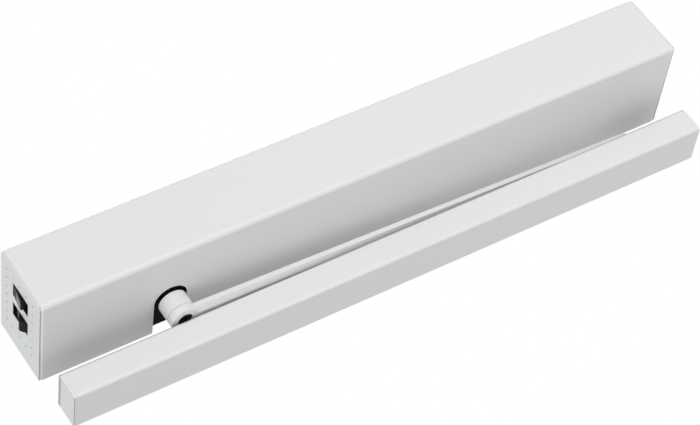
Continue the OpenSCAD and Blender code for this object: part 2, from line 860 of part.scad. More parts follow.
// Sleeve on the foot of the spindle, with a square socket for the arm
module spindle_sleeve() {
    color([0.93, 0.93, 0.92])
    translate([spindle_x, -spindle_y, 0]) difference() {
        translate([0, 0, arm_top]) cylinder(r = sleeve_r, h = sleeve_top - arm_top);
        translate([0, 0, sleeve_top - sleeve_grip]) cylinder(r = spindle_r, h = sleeve_grip + 1);
        translate([0, 0, arm_top - 1]) cylinder(r = arm_screw_r, h = sleeve_top - arm_top);
        rotate([0, 0, arm_turn])
            translate([-key_square / 2, -key_square / 2, arm_top - 1])
                cube([key_square, key_square, key_square_h + 1]);
    }
}

// Cross-section of the arm, with round edges
module arm_section() {
    translate([-arm_w / 2, arm_z0]) {
        translate([arm_edge_r, 0]) square([arm_w - 2 * arm_edge_r, arm_t]);
        translate([0, arm_edge_r]) square([arm_w, arm_t - 2 * arm_edge_r]);
        for (y = [arm_edge_r, arm_w - arm_edge_r], z = [arm_edge_r, arm_t - arm_edge_r])
            translate([y, z]) circle(arm_edge_r);
    }
}

// Flat disc with its rim rounded like the edges of the arm
module round_disc(r) {
    rotate_extrude() intersection() {
        translate([0, arm_z0]) square([r, arm_t]);
        union() {
            translate([0, arm_z0]) square([r - arm_edge_r, arm_t]);
            translate([0, arm_z0 + arm_edge_r]) square([r, arm_t - 2 * arm_edge_r]);
            for (z = [arm_z0 + arm_edge_r, arm_z0 + arm_t - arm_edge_r])
                translate([r - arm_edge_r, z]) circle(arm_edge_r);
        }
    }
}

// Flat bar arm with a round head under the sleeve and a square spigot into it
module swing_arm() {
    color([0.93, 0.93, 0.92])
    translate([spindle_x, -spindle_y, 0]) rotate([0, 0, arm_turn]) difference() {
        union() {
            round_disc(sleeve_r);
            along_x(0, arm_l) arm_section();
            translate([arm_l, 0, 0]) round_disc(arm_w / 2);
            translate([-key_square / 2 + plug_gap, -key_square / 2 + plug_gap, arm_top - 1])
                cube([key_square - 2 * plug_gap, key_square - 2 * plug_gap, key_square_h + 0.6]);
        }
        translate([0, 0, arm_z0 - 1]) cylinder(r = recess_r, h = recess_depth + 1);
        translate([0, 0, arm_z0]) cylinder(r = arm_screw_r, h = arm_t + key_square_h + 1);
        translate([arm_l, 0, arm_z0 - 1]) cylinder(r = pivot_r + eps, h = arm_t + 2);
    }
}

// Socket-head screw that clamps the arm to the spindle
module arm_screw() {
    head = recess_depth - 0.8;
    color([0.1, 0.1, 0.11])
    translate([spindle_x, -spindle_y, 0]) difference() {
        union() {
            translate([0, 0, arm_z0 + recess_depth - head]) cylinder(r = recess_r - 0.4, h = head);
            translate([0, 0, arm_z0 + recess_depth - eps])
                cylinder(r = arm_screw_r, h = sleeve_top - sleeve_grip + 10 - arm_z0 - recess_depth);
        }
        translate([0, 0, arm_z0]) cylinder(r = 3.4, h = head - 0.6, $fn = 6);
    }
}

module pivot_pin() {
    color([0.6, 0.6, 0.62])
    translate([pivot_x, pivot_y, 0]) {
        translate([0, 0, track_z0 + 1]) cylinder(r = pivot_r, h = arm_top - track_z0 - 1 + eps);
        translate([0, 0, arm_top]) cylinder(r = pin_head_r, h = pin_head_t);
    }
}

// Toothed rack that turns the swing of the spindle into a push on the spring
module spring_rack() {
    half_gap = rack_pitch / 4 + backlash / 2;
    color([0.6, 0.6, 0.62])
    difference() {
        union() {
            block([tooth_x0 - 3, rack_line - addendum, rack_z0], [bar_x1, rack_back, rack_z0 + rack_h]);
            rod_x(bar_x1 - 4, -spring_y, spring_z, 6.5, spring_x0 - bar_x1 + 4);
            rod_x(spring_x0 - flange_t, -spring_y, spring_z, flange_r, flange_t);
            rod_x(spring_x0 - eps, -spring_y, spring_z, guide_r, nose_l);
        }
        for (i = [0 : rack_teeth - 1])
            translate([tooth_x0 + i * rack_pitch, rack_line, rack_z0 - 1])
                linear_extrude(rack_h + 2)
                    polygon([
                        [-half_gap - (addendum + 1) * tan(pressure), -addendum - 1],
                        [half_gap + (addendum + 1) * tan(pressure), -addendum - 1],
                        [half_gap - dedendum * tan(pressure), dedendum],
                        [-half_gap + dedendum * tan(pressure), dedendum]]);
    }
}

module motor_pinion() {
    color([0.58, 0.58, 0.6])
    translate([pinion_x, pinion_y, 0]) {
        translate([0, 0, gear_z0 + 0.5])
            rotate([0, 0, pinion_dir + 180 + 180 / pinion_teeth])
                spur_gear(pinion_teeth, pinion_r, gear_face - 1);
        translate([0, 0, gear_z0 - pinion_foot])
            cylinder(r = pinion_shaft_r, h = upper_z + 6 - gear_z0 + pinion_foot);
    }
}

// Bevel gear box: a square box on the motor axis and a low arm that carries the pinion shaft
module bevel_gearbox() {
    arm_z1 = gear_z0 - 1.6;
    box_z = bevel_box_w / 2;
    color([0.5, 0.51, 0.53])
    difference() {
        union() {
            block([box_x0, -motor_y - box_z, -box_z], [box_x0 + bevel_box_l, -motor_y + box_z, box_z]);
            block([pinion_x, pinion_y - arm_box_r, lower_top], [box_x0 + eps, pinion_y + arm_box_r, arm_z1]);
            translate([pinion_x, pinion_y, lower_top]) cylinder(r = arm_box_r, h = arm_z1 - lower_top);
        }
        translate([pinion_x, pinion_y, gear_z0 - pinion_foot - 1])
            cylinder(r = pinion_shaft_r + run_gap, h = pinion_foot);
        for (y = [-1, 1], z = [-1, 1])
            rod_x(box_x0 + bevel_box_l - 2, -motor_y + y * (box_z - 5), z * (box_z - 5), 1.6, 3);
    }
}

// Ring-gear body of the planetary stage, grooved where its halves meet
module planetary_stage() {
    color([0.62, 0.63, 0.65])
    translate([planet_x0, -motor_y, 0]) rotate([0, 90, 0]) rotate_extrude()
        polygon([[0, 0], [planet_r, 0], [planet_r, groove_x], [planet_r - groove_depth, groove_x],
            [planet_r - groove_depth, groove_x + groove_w], [planet_r, groove_x + groove_w],
            [planet_r, planet_l - 4], [planet_r - 2, planet_l], [0, planet_l]]);
}

module drive_motor() {
    color([0.22, 0.23, 0.25])
    translate([motor_x0, -motor_y, 0]) rotate([0, 90, 0]) rotate_extrude()
        polygon([[0, 0], [motor_r - 2, 0], [motor_r - 2, 3], [motor_r, 3], [motor_r, motor_l - 6],
            [motor_r - 1.5, motor_l - 4], [motor_r - 1.5, motor_l], [0, motor_l]]);
}

module motor_encoder() {
    color([0.12, 0.12, 0.13])
    translate([encoder_x0, -motor_y, 0]) rotate([0, 90, 0]) rotate_extrude()
        polygon([[0, 0], [encoder_r, 0], [encoder_r, encoder_l - 2],
            [encoder_r - 2, encoder_l], [0, encoder_l]]);
}

// Saddle that carries the tail of the motor above the spring
module motor_saddle() {
    x1 = saddle_x + saddle_w;
    color([0.7, 0.71, 0.72]) {
        block([saddle_x, -plate_t - saddle_t, saddle_z], [x1, -plate_t, plate_h / 2 - 1]);
        difference() {
            union() {
                block([saddle_x, -motor_y, saddle_z], [x1, -plate_t, saddle_z + saddle_t]);
                rod_x(saddle_x, -motor_y, 0, motor_r + saddle_ring, saddle_w);
            }
            rod_x(saddle_x - 1, -motor_y, 0, motor_r, saddle_w + 2);
            block([saddle_x - 1, -motor_y - motor_r - saddle_ring - 1, -motor_r - saddle_ring - 1],
                [x1 + 1, -motor_y - 5, motor_r + saddle_ring + 1]);
        }
    }
}

// Block on the wall plate that takes the push of the spring through the preload screw
module spring_abutment() {
    wide = spring_r + 1;
    color([0.66, 0.67, 0.68])
    difference() {
        block([abutment_x, -spring_y - wide, spring_z - wide],
            [abutment_x + abutment_l, -plate_t, spring_z + wide]);
        rod_x(abutment_x - 1, -spring_y, spring_z, preload_r, abutment_l + 2);
    }
}

module preload_screw() {
    color([0.35, 0.35, 0.37])
    difference() {
        rod_x(spring_x1 + seat_t, -spring_y, spring_z, preload_r, abutment_l + 7);
        translate([abutment_x + abutment_l + 2, -spring_y, spring_z])
            rotate([0, 90, 0]) cylinder(r = 3, h = 5, $fn = 6);
    }
}

// Seat disc with the rod that keeps the spring straight
module spring_guide() {
    color([0.7, 0.7, 0.72]) {
        rod_x(spring_x1, -spring_y, spring_z, flange_r, seat_t);
        rod_x(spring_x1 - rod_l, -spring_y, spring_z, guide_r, rod_l + eps);
    }
}

// Position along the spring after a number of turns: close end curls, open curls between
function spring_pitch_end() = spring_wire + 0.6;
function spring_travel(t) =
    let (close = spring_pitch_end(),
        open = (spring_l - spring_wire - 2 * close) / (spring_curls - 2))
    t < 1 ? t * close
        : t < spring_curls - 1 ? close + (t - 1) * open
        : close + (spring_curls - 2) * open + (t - spring_curls + 1) * close;

spring_rings = 8;
spring_sides = 6;
spring_steps = spring_curls * spring_rings;
spring_points = [for (i = [0 : spring_steps], k = [0 : spring_sides - 1])
    let (a = i * 360 / spring_rings,
        b = k * 360 / spring_sides,
        r = spring_r - spring_wire / 2 + cos(b) * spring_wire / 2)
    [spring_travel(i / spring_rings) + spring_wire / 2 + sin(b) * spring_wire / 2, r * cos(a), r * sin(a)]];
spring_faces = concat(
    [[for (k = [0 : spring_sides - 1]) k]],
    [for (i = [0 : spring_steps - 1], k = [0 : spring_sides - 1], half = [0, 1])
        let (k2 = (k + 1) % spring_sides, n = i * spring_sides, m = n + spring_sides)
        half == 0 ? [n + k, m + k, m + k2] : [n + k, m + k2, n + k2]],
    [[for (k = [spring_sides - 1 : -1 : 0]) spring_steps * spring_sides + k]]);
echo(least_gap_between_curls = spring_pitch_end() - spring_wire);

module closing_spring() {
    color([0.45, 0.46, 0.48])
    translate([spring_x0, -spring_y, spring_z]) polyhedron(spring_points, spring_faces);
}

// Switch body: a cup with a frame in the window, pivot holes, a rim on the bracket and three tabs
module switch_body(y) {
    color([0.09, 0.09, 0.1])
    translate([0, y, window_z]) {
        difference() {
            union() {
                block([switch_x0, -switch_w / 2, -switch_h / 2],
                    [switch_x0 + switch_depth, switch_w / 2, switch_h / 2]);
                block([bracket_x - rim_t, -switch_w / 2 - rim_w, -switch_h / 2 - rim_w],
                    [bracket_x, switch_w / 2 + rim_w, switch_h / 2 + rim_w]);
                block([left + bezel_sunk, -cavity_w / 2 - bezel_t, -cavity_h / 2 - bezel_t],
                    [switch_x0 + eps, cavity_w / 2 + bezel_t, cavity_h / 2 + bezel_t]);
            }
            block([left - 1, -cavity_w / 2, -cavity_h / 2],
                [pivot_depth_x + rocker_reach + 0.6, cavity_w / 2, cavity_h / 2]);
            rod_y(pivot_depth_x, pin_bore_l / 2, 0, rocker_pin_r + run_gap, pin_bore_l);
        }
        for (z = [-tab_pitch, 0, tab_pitch])
            block([switch_x0 + switch_depth - eps, -tab_t / 2, z - tab_w / 2],
                [switch_x0 + switch_depth + tab_l, tab_t / 2, z + tab_w / 2]);
    }
}

module program_switch() {
    switch_body(program_y);
}

module power_switch() {
    switch_body(power_y);
}

// Points along an arc round the pivot
function arc_points(r, a0, a1, steps) =
    [for (i = [0 : steps]) let (a = a0 + (a1 - a0) * i / steps) [r * cos(a), r * sin(a)]];

// A rocker on a cross pin. Its face runs from the pressed end to the proud end, as points of
// [height above the pivot, place along the window], and its ends are arcs round the pivot.
module rocker(y, face, proud_up) {
    pin_l = pin_bore_l - 2 * pin_end_gap;
    color([0.07, 0.07, 0.08])
    translate([pivot_depth_x, y, window_z]) {
        rotate([90, 0, 0]) translate([0, 0, -rocker_w / 2]) linear_extrude(rocker_w)
            mirror([1, 0]) mirror([0, proud_up])
                polygon(concat(face,
                    arc_points(rocker_reach, -rocker_low_angle, -rocker_back_angle, 6),
                    arc_points(rocker_reach, rocker_back_angle, rocker_high_angle, 5)));
        rod_y(0, pin_l / 2, 0, rocker_pin_r, pin_l);
    }
}

// Three-way rocker whose upper half stands proud and drops in a step
module program_rocker() {
    crest = rocker_pivot_x + program_crest_h;
    low = rocker_pivot_x - rocker_sunk;
    rocker(program_y, [[low, rocker_reach - 0.4], [low + 0.2, program_crest_z + 2.3],
        [crest - 0.6, program_crest_z + 0.8], [crest, program_crest_z], [crest, program_crest_z - 1.2],
        [rocker_pivot_x + 0.4, 1.8 - rocker_reach]], 1);
}

// Two-way rocker whose lower half stands proud
module power_rocker() {
    crest = rocker_pivot_x + power_crest_h;
    low = rocker_pivot_x - rocker_sunk;
    rocker(power_y, [[low, rocker_reach - 0.4], [rocker_pivot_x, 1.5],
        [crest - 0.7, 1.8 - power_crest_z], [crest, 0.6 - power_crest_z], [crest, -0.6 - power_crest_z],
        [rocker_pivot_x + 1.4, 2.4 - rocker_reach]], 0);
}

module board_corner_places() {
    for (x = [board_x + standoff_inset, board_x1 - standoff_inset], z = [-1, 1])
        translate([x, 0, z * (board_h / 2 - standoff_inset)]) children();
}

module control_board() {
    color([0.1, 0.35, 0.2])
    difference() {
        block([board_x, board_front, -board_h / 2], [board_x1, board_y, board_h / 2]);
        board_corner_places() rod_y(0, board_y + 1, 0, standoff_pin_r + 0.1, board_t + 2);
    }
}

module board_standoffs() {
    color([0.75, 0.75, 0.7])
    board_corner_places() {
        rod_y(0, -plate_t, 0, standoff_r, board_gap);
        rod_y(0, board_y, 0, standoff_pin_r, board_t + 0.6);
        rod_y(0, board_front, 0, standoff_r - 0.2, standoff_cap_t);
    }
}

// Relays, capacitors, a transformer and plug headers that stand on the control board
module board_parts() {
    color([0.16, 0.16, 0.18]) {
        for (i = [0 : relays - 1])
            block([relay_x + i * relay_pitch, board_front - relay_d, relay_z],
                [relay_x + i * relay_pitch + relay_w, board_front, relay_z + relay_h]);
        for (i = [0 : capacitors - 1])
            rod_y(capacitor_x + i * capacitor_pitch, board_front, capacitor_z, capacitor_r, capacitor_l);
        block([transformer_x, board_front - transformer_d, transformer_z],
            [transformer_x + transformer_w, board_front, transformer_z + transformer_w]);
        for (i = [0 : headers - 1])
            block([header_x, board_front - header_d, header_z + i * header_pitch],
                [header_x + header_l, board_front, header_z + i * header_pitch + header_h]);
        block([chip_x, board_front - chip_t, chip_z], [chip_x + chip_w, board_front, chip_z + chip_w]);
    }
}

module terminal_block() {
    x0 = board_x + 42;
    z0 = -board_h / 2 + 3;
    color([0.12, 0.5, 0.28])
    difference() {
        block([x0, board_front - terminal_d, z0],
            [x0 + terminal_ways * terminal_pitch, board_front, z0 + terminal_h]);
        for (i = [0 : terminal_ways - 1]) {
            rod_y(x0 + (i + 0.5) * terminal_pitch, board_front - terminal_d + 3, z0 + 6.5, 1.7, 4);
            block([x0 + i * terminal_pitch + 1, board_front - 7, z0 - 1],
                [x0 + (i + 1) * terminal_pitch - 1, board_front - 3, z0 + 4]);
        }
    }
}

// Mains supply in a sheet metal box with cooling slots
module power_supply() {
    front = -plate_t - supply_d;
    color([0.68, 0.69, 0.7])
    difference() {
        block([supply_x, front, -supply_h / 2], [supply_x + supply_l, -plate_t, supply_h / 2]);
        for (x = [supply_x + vent_pitch : vent_pitch : supply_x + supply_l - vent_pitch])
            block([x, front - 1, vent_margin - supply_h / 2],
                [x + vent_w, front + vent_depth, supply_h / 2 - vent_margin]);
    }
}

// Rubber grommet in the cable hole of the wall plate
module cable_grommet() {
    color([0.1, 0.1, 0.1])
    translate([entry_x, 0, 0]) rotate([90, 0, 0]) difference() {
        union() {
            cylinder(r = cable_hole_r, h = plate_t + eps);
            translate([0, 0, plate_t]) cylinder(r = cable_hole_r + grommet_lip, h = 2.5);
        }
        translate([0, 0, -1]) cylinder(r = grommet_bore_r, h = plate_t + 5);
    }
}

module cap_screws() {
    color([0.75, 0.75, 0.77])
    for (flip = [0, 1]) mirror([flip, 0, 0])
        boss_places() {
            rod_x(bracket_x - 4, 0, 0, cap_screw_r, bracket_t + 4 + eps);
            rod_x(bracket_x + bracket_t, 0, 0, small_head_r, small_head_t);
        }
}

module bracket_screws() {
    color([0.75, 0.75, 0.77])
    for (flip = [0, 1], z = [-1, 1]) mirror([flip, 0, 0])
        translate([bracket_x + bracket_foot - foot_hole_inset, 0, z * foot_hole_z]) {
            rod_y(0, -0.3, 0, cap_screw_r, foot_front);
            rod_y(0, -foot_front, 0, small_head_r, small_head_t);
        }
}

// Slide block on the pivot pin, with relieved ends
module slide_block() {
    half_w = track_w / 2 - slide_gap;
    relief = 1.5;
    color([0.13, 0.13, 0.14])
    difference() {
        translate([pivot_x, pivot_y, track_z0 + slide_gap]) linear_extrude(track_h - 2 * slide_gap)
            polygon([[-block_l / 2, -half_w + relief], [-block_l / 2 + 2 * relief, -half_w],
                [block_l / 2 - 2 * relief, -half_w], [block_l / 2, -half_w + relief],
                [block_l / 2, half_w - relief], [block_l / 2 - 2 * relief, half_w],
                [-block_l / 2 + 2 * relief, half_w], [-block_l / 2, half_w - relief]]);
        translate([pivot_x, pivot_y, track_z0]) cylinder(r = pivot_r + run_gap, h = track_h);
    }
}

// Section of the rail: slotted top flange, box for the slide block, floor and rear web
module rail_profile() {
    along_x(rail_x0, rail_x1) difference() {
        union() {
            translate([rail_front, track_z1]) square([-rail_front, flange_top_t]);
            translate([pivot_y - track_w / 2 - rail_t, floor_z0])
                square([track_w + 2 * rail_t, channel_z1 - floor_z0]);
            translate([pivot_y, floor_z0]) square([-pivot_y, rail_t]);
            translate([-rail_web_t, rail_z0]) square([rail_web_t, channel_z1 - rail_z0]);
        }
        translate([pivot_y - track_w / 2, track_z0]) square([track_w, track_h]);
        translate([pivot_y - slot_w / 2, track_z1 - eps]) square([slot_w, flange_top_t + 1]);
    }
}

// Aluminium rail whose top flange closes over both end caps
module channel_rail() {
    color([0.8, 0.81, 0.82])
    difference() {
        union() {
            rail_profile();
            block([channel_x0, rail_front, track_z1], [rail_x0 + eps, 0, channel_z1]);
            block([rail_x1 - eps, rail_front, track_z1], [channel_x1, 0, channel_z1]);
        }
        for (x = [-door_hole_outer, -door_hole_inner, door_hole_inner, door_hole_outer] / 2)
            rod_y(channel_shift + x, 1, door_hole_z, door_hole_r, rail_web_t + 2);
    }
}

// Outline of the channel, drawn in by a margin and kept back from the door plane
module channel_outline(margin, back) {
    r = max(channel_edge_r - margin, 0.3);
    w = channel_d - margin - back;
    h = channel_h - 2 * margin;
    translate([-channel_d + margin, channel_z0 + margin]) {
        translate([r, 0]) square([w - r, h]);
        translate([0, r]) square([r + eps, h - 2 * r]);
        translate([r, r]) circle(r);
        translate([r, h - r]) circle(r);
    }
}

// Clip-on cover: the front and the underside of the channel, hooked behind the rail
module channel_cover() {
    color([0.93, 0.93, 0.92])
    along_x(rail_x0, rail_x1) {
        difference() {
            channel_outline(0, 0);
            translate([-channel_d + skin_t, channel_z0 + skin_t]) square([channel_d + 1, channel_h]);
        }
        translate([-rail_web_t - hook_gap - hook_w, rail_z0 - eps]) square([hook_w, hook_h]);
    }
}

// End cap of the channel under the top flange, with a plug below the track, drawn at the left end
module channel_cap() {
    along_x(channel_x0, rail_x0) difference() {
        channel_outline(cap_inset_low, plug_gap);
        translate([rail_front - plug_gap, track_z1 - plug_gap])
            square([channel_d, flange_top_t + 1]);
    }
    block([rail_x0 - eps, -channel_d + skin_t + 1, rail_z0 + 0.2],
        [rail_x0 + cap_plug_l, -rail_web_t - hook_w - 0.8, floor_z0 - 0.2]);
}

module channel_left_cap() {
    color([0.88, 0.9, 0.91]) channel_cap();
}

module channel_right_cap() {
    color([0.88, 0.9, 0.91]) translate([2 * channel_shift, 0, 0]) mirror([1, 0, 0]) channel_cap();
}

// Rubber buffers that stop the slide block at both ends of the track
module channel_buffers() {
    color([0.15, 0.15, 0.15])
    for (x = [rail_x0, rail_x1 - buffer_l])
        block([x, pivot_y - track_w / 2, track_z0], [x + buffer_l, pivot_y + track_w / 2, track_z1]);
}

mounting_plate();
housing_cover();
left_end_cap();
right_end_cap();
left_end_bracket();
right_end_bracket();
cover_clips();
gear_case();
upper_bearing_plate();
lower_bearing();
upper_bearing();
bevel_gearbox();
planetary_stage();
drive_motor();
motor_encoder();
motor_saddle();
spring_abutment();
preload_screw();
spring_guide();
closing_spring();
program_switch();
power_switch();
control_board();
board_parts();
board_standoffs();
terminal_block();
power_supply();
cable_grommet();
bearing_plate_screws();
case_screws();
cap_screws();
bracket_screws();
spindle();
spindle_gear();
rack_pinion();
spindle_key();
spindle_circlip();
spindle_sleeve();
swing_arm();
arm_screw();
pivot_pin();
spring_rack();
motor_pinion();
slide_block();
channel_rail();
channel_cover();
channel_left_cap();
channel_right_cap();
channel_buffers();
program_rocker();
power_rocker();
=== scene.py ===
"""Looks of a swing door operator with a slide arm, built round its fixed frame.

The housing, the switches, the arm and the door channel get their finer pieces here, the closing
spring gets a smooth copy of its frame mesh, and every piece gets its finish. All sizes are in
metres, X runs along the housing, the wall is the plane y = 0 and Z points up.
"""

import contextlib
import json
import math

import bmesh
import bpy
from bpy.props import FloatProperty, FloatVectorProperty, PointerProperty
from bpy.types import Operator, Panel, PropertyGroup
from mathutils import Matrix, Quaternion, Vector

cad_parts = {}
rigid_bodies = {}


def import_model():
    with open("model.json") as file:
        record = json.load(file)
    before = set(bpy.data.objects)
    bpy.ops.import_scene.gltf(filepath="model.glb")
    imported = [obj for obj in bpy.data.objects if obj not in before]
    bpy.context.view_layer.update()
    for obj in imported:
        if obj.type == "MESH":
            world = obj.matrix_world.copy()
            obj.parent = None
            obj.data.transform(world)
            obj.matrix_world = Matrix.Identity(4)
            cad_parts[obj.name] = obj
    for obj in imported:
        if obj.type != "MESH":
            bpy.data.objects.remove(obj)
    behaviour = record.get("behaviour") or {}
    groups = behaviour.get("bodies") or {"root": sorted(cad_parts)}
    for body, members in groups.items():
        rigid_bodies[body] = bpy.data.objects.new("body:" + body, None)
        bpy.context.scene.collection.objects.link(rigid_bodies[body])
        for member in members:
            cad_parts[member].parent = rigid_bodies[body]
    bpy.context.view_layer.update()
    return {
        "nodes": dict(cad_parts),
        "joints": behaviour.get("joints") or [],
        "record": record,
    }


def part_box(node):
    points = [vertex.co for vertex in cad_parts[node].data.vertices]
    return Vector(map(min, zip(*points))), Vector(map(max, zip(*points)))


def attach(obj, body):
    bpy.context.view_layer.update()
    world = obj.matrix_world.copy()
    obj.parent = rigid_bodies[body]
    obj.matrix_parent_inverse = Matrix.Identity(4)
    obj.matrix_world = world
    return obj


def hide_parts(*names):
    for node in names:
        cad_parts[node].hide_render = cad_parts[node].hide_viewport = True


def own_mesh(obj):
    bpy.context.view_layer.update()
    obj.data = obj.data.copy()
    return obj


bl_info = {
    "name": "Swing door operator",
    "version": (1, 0, 0),
    "blender": (4, 5, 0),
    "location": "View3D > Sidebar > Door operator",
    "description": "Models and finishes a swing door operator with a slide arm",
    "category": "Object",
}

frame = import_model()
LEFT_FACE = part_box("left_end_cap")[0].x
RIGHT_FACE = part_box("right_end_cap")[1].x
SLOT_OF_NODE = {part["node"]: part["material_slot"] for part in frame["record"]["subparts"]}
MM = 0.001
WHITE = (1.0, 1.0, 1.0)


# Modelling helpers


def middle_of(node):
    """The middle of a frame node's box."""
    low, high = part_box(node)
    return (low + high) / 2


def deselect_all():
    """Leaves no object selected, so that an operator acts on one piece alone."""
    for item in bpy.context.view_layer.objects:
        item.select_set(False)


def select_only(piece):
    """Makes one piece the selected and active one."""
    deselect_all()
    piece.select_set(True)
    bpy.context.view_layer.objects.active = piece


def place(piece, name):
    """Names a new piece and moves its place into its mesh."""
    piece.name = name
    piece.data.name = name
    select_only(piece)
    bpy.ops.object.transform_apply(location=True, rotation=True, scale=True)
    return piece


def add_box(name, low, high):
    """A box from its low corner to its high corner."""
    low, high = Vector(low), Vector(high)
    deselect_all()
    bpy.ops.mesh.primitive_cube_add(size=1.0, location=(low + high) / 2)
    piece = bpy.context.object
    piece.scale = high - low
    return place(piece, name)


def add_rod(name, start, end, radius, sides=64):
    """A cylinder between two points that differ along one axis only."""
    start, end = Vector(start), Vector(end)
    deselect_all()
    bpy.ops.mesh.primitive_cylinder_add(
        vertices=sides, radius=radius, depth=(end - start).length, location=(start + end) / 2)
    piece = bpy.context.object
    piece.rotation_mode = "QUATERNION"
    piece.rotation_quaternion = (end - start).to_track_quat("Z", "Y")
    return place(piece, name)


@contextlib.contextmanager
def editing(piece):
    """Edit mode on one piece, with nothing selected at the start."""
    select_only(piece)
    bpy.ops.object.mode_set(mode="EDIT")
    bpy.ops.mesh.select_all(action="DESELECT")
    yield
    bpy.ops.object.mode_set(mode="OBJECT")


def pick(piece, kind, wanted):
    """Selects the vertices, edges or faces of the edited piece that pass a test."""
    bpy.ops.mesh.select_mode(type=kind)
    bpy.ops.mesh.select_all(action="DESELECT")
    mesh = bmesh.from_edit_mesh(piece.data)
    parts = {"VERT": mesh.verts, "EDGE": mesh.edges, "FACE": mesh.faces}[kind]
    found = [part for part in parts if wanted(part)]
    if not found:
        raise RuntimeError(f"{piece.name}: nothing was found to select")
    for part in found:
        part.select_set(True)
    bmesh.update_edit_mesh(piece.data)


def middle(edge):
    """The middle of an edge."""
    return (edge.verts[0].co + edge.verts[1].co) / 2


def runs_along(edge, axis):
    """Whether an edge is parallel to the X, Y or Z axis, given as 0, 1 or 2."""
    step = edge.verts[1].co - edge.verts[0].co
    return abs(step[axis]) > 0.999 * step.length


def near(a, b):
    """Whether two lengths are the same within a hundredth of a millimetre."""
    return abs(a - b) < 1e-5


def lies_at(edge, height):
    """Whether both ends of an edge are at a height."""
    return all(near(vertex.co.z, height) for vertex in edge.verts)


def modify(piece, kind, **settings):
    """Adds one modifier to a piece and applies it."""
    select_only(piece)
    modifier = piece.modifiers.new(kind.title(), kind)
    for name, value in settings.items():
        setattr(modifier, name, value)
    bpy.ops.object.modifier_apply(modifier=modifier.name)


def combine(piece, tool, operation):
    """Cuts a tool from a piece, or welds it on, and removes the tool."""
    modify(piece, "BOOLEAN", operation=operation, object=tool, solver="EXACT")
    bpy.data.objects.remove(tool)


def cut(piece, *tools):
    """Cuts tools out of a piece."""
    for tool in tools:
        combine(piece, tool, "DIFFERENCE")


def weld(piece, *tools):
    """Welds other forms onto a piece."""
    for tool in tools:
        combine(piece, tool, "UNION")


def keep_inside(piece, tool):
    """Keeps only what lies inside a tool."""
    combine(piece, tool, "INTERSECT")


def join(piece, *others):
    """Puts other forms into a piece without cutting either."""
    select_only(piece)
    for other in others:
        other.select_set(True)
    bpy.ops.object.join()


def soften(piece, width, segments=2, angle=40):
    """Rounds the sharp edges of a piece a little and shades it smooth."""
    modify(piece, "BEVEL", width=width, segments=segments, limit_method="ANGLE",
           angle_limit=math.radians(angle), use_clamp_overlap=True, miter_outer="MITER_ARC")
    shade(piece)


def shade(piece, angle=35):
    """Smooth shading that keeps flat faces flat."""
    select_only(piece)
    bpy.ops.object.shade_smooth_by_angle(angle=math.radians(angle))
    modify(piece, "WEIGHTED_NORMAL", keep_sharp=True, weight=80)


def clean(piece):
    """Merges doubled points and turns all faces outwards."""
    with editing(piece):
        bpy.ops.mesh.select_all(action="SELECT")
        bpy.ops.mesh.remove_doubles(threshold=2e-6)
        bpy.ops.mesh.normals_make_consistent(inside=False)


def stands_for(piece, body, *nodes):
    """Hands a finished piece to its body, in place of frame nodes, in their finish."""
    slot = SLOT_OF_NODE[nodes[0]]
    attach(piece, body)
    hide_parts(*nodes)
    piece.data.materials.clear()
    piece.data.materials.append(finish_of(slot))


# Shader helpers


class Value:
    """A shader socket that number expressions can be written with."""

    def __init__(self, nodes, socket):
        self.nodes = nodes
        self.socket = socket

    def maths(self, operation, *numbers):
        """A Math node on values of the same tree and plain numbers."""
        return self.nodes.node("ShaderNodeMath", {"operation": operation}, dict(enumerate(numbers)))

    def __add__(self, other):
        return self.maths("ADD", self, other)

    __radd__ = __add__

    def __mul__(self, other):
        return self.maths("MULTIPLY", self, other)

    __rmul__ = __mul__

    def __sub__(self, other):
        return self.maths("SUBTRACT", self, other)

    def __rsub__(self, other):
        return self.maths("SUBTRACT", other, self)

    def __gt__(self, other):
        return self.maths("GREATER_THAN", self, other)

    def __lt__(self, other):
        return self.maths("LESS_THAN", self, other)

    def __abs__(self):
        return self.maths("ABSOLUTE", self)

    def root(self):
        """The square root."""
        return self.maths("SQRT", self)

    def largest(self, other):
        """The larger of two values."""
        return self.maths("MAXIMUM", self, other)

    def within(self, low, high):
        """1 between two limits and 0 elsewhere."""
        return (self > low) * (self < high)


class Nodes:
    """A node tree under construction."""

    def __init__(self, tree):
        self.tree = tree

    def node(self, kind, settings, inputs, output=0):
        """Makes a node: its settings first, then the values or links of its sockets."""
        made = self.tree.nodes.new(kind)
        for name, value in settings.items():
            setattr(made, name, value)
        for name, value in inputs.items():
            self.feed(made.inputs[name], value)
        return Value(self, made.outputs[output])

    def feed(self, socket, value):
        """Links a value to a socket, or sets it there."""
        if isinstance(value, Value):
            self.tree.links.new(value.socket, socket)
        elif hasattr(value, "__len__") and len(value) == 3 and socket.type == "RGBA":
            socket.default_value = (*value, 1.0)
        else:
            socket.default_value = value

    def whiten(self, kind, shader, output):
        """Keeps a shader for its light, and shows plain white to the eye, in gloss and in glass."""
        camera, glossy, transmission = (
            self.node("ShaderNodeLightPath", {}, {}, f"Is {ray} Ray")
            for ray in ("Camera", "Glossy", "Transmission"))
        white = self.node(kind, {}, {"Color": WHITE, "Strength": 1.0})
        mixed = self.node("ShaderNodeMixShader", {}, {
            0: camera.largest(glossy).largest(transmission), 1: Value(self, shader.outputs[0]),
            2: white})
        self.feed(self.tree.nodes[output].inputs["Surface"], mixed)


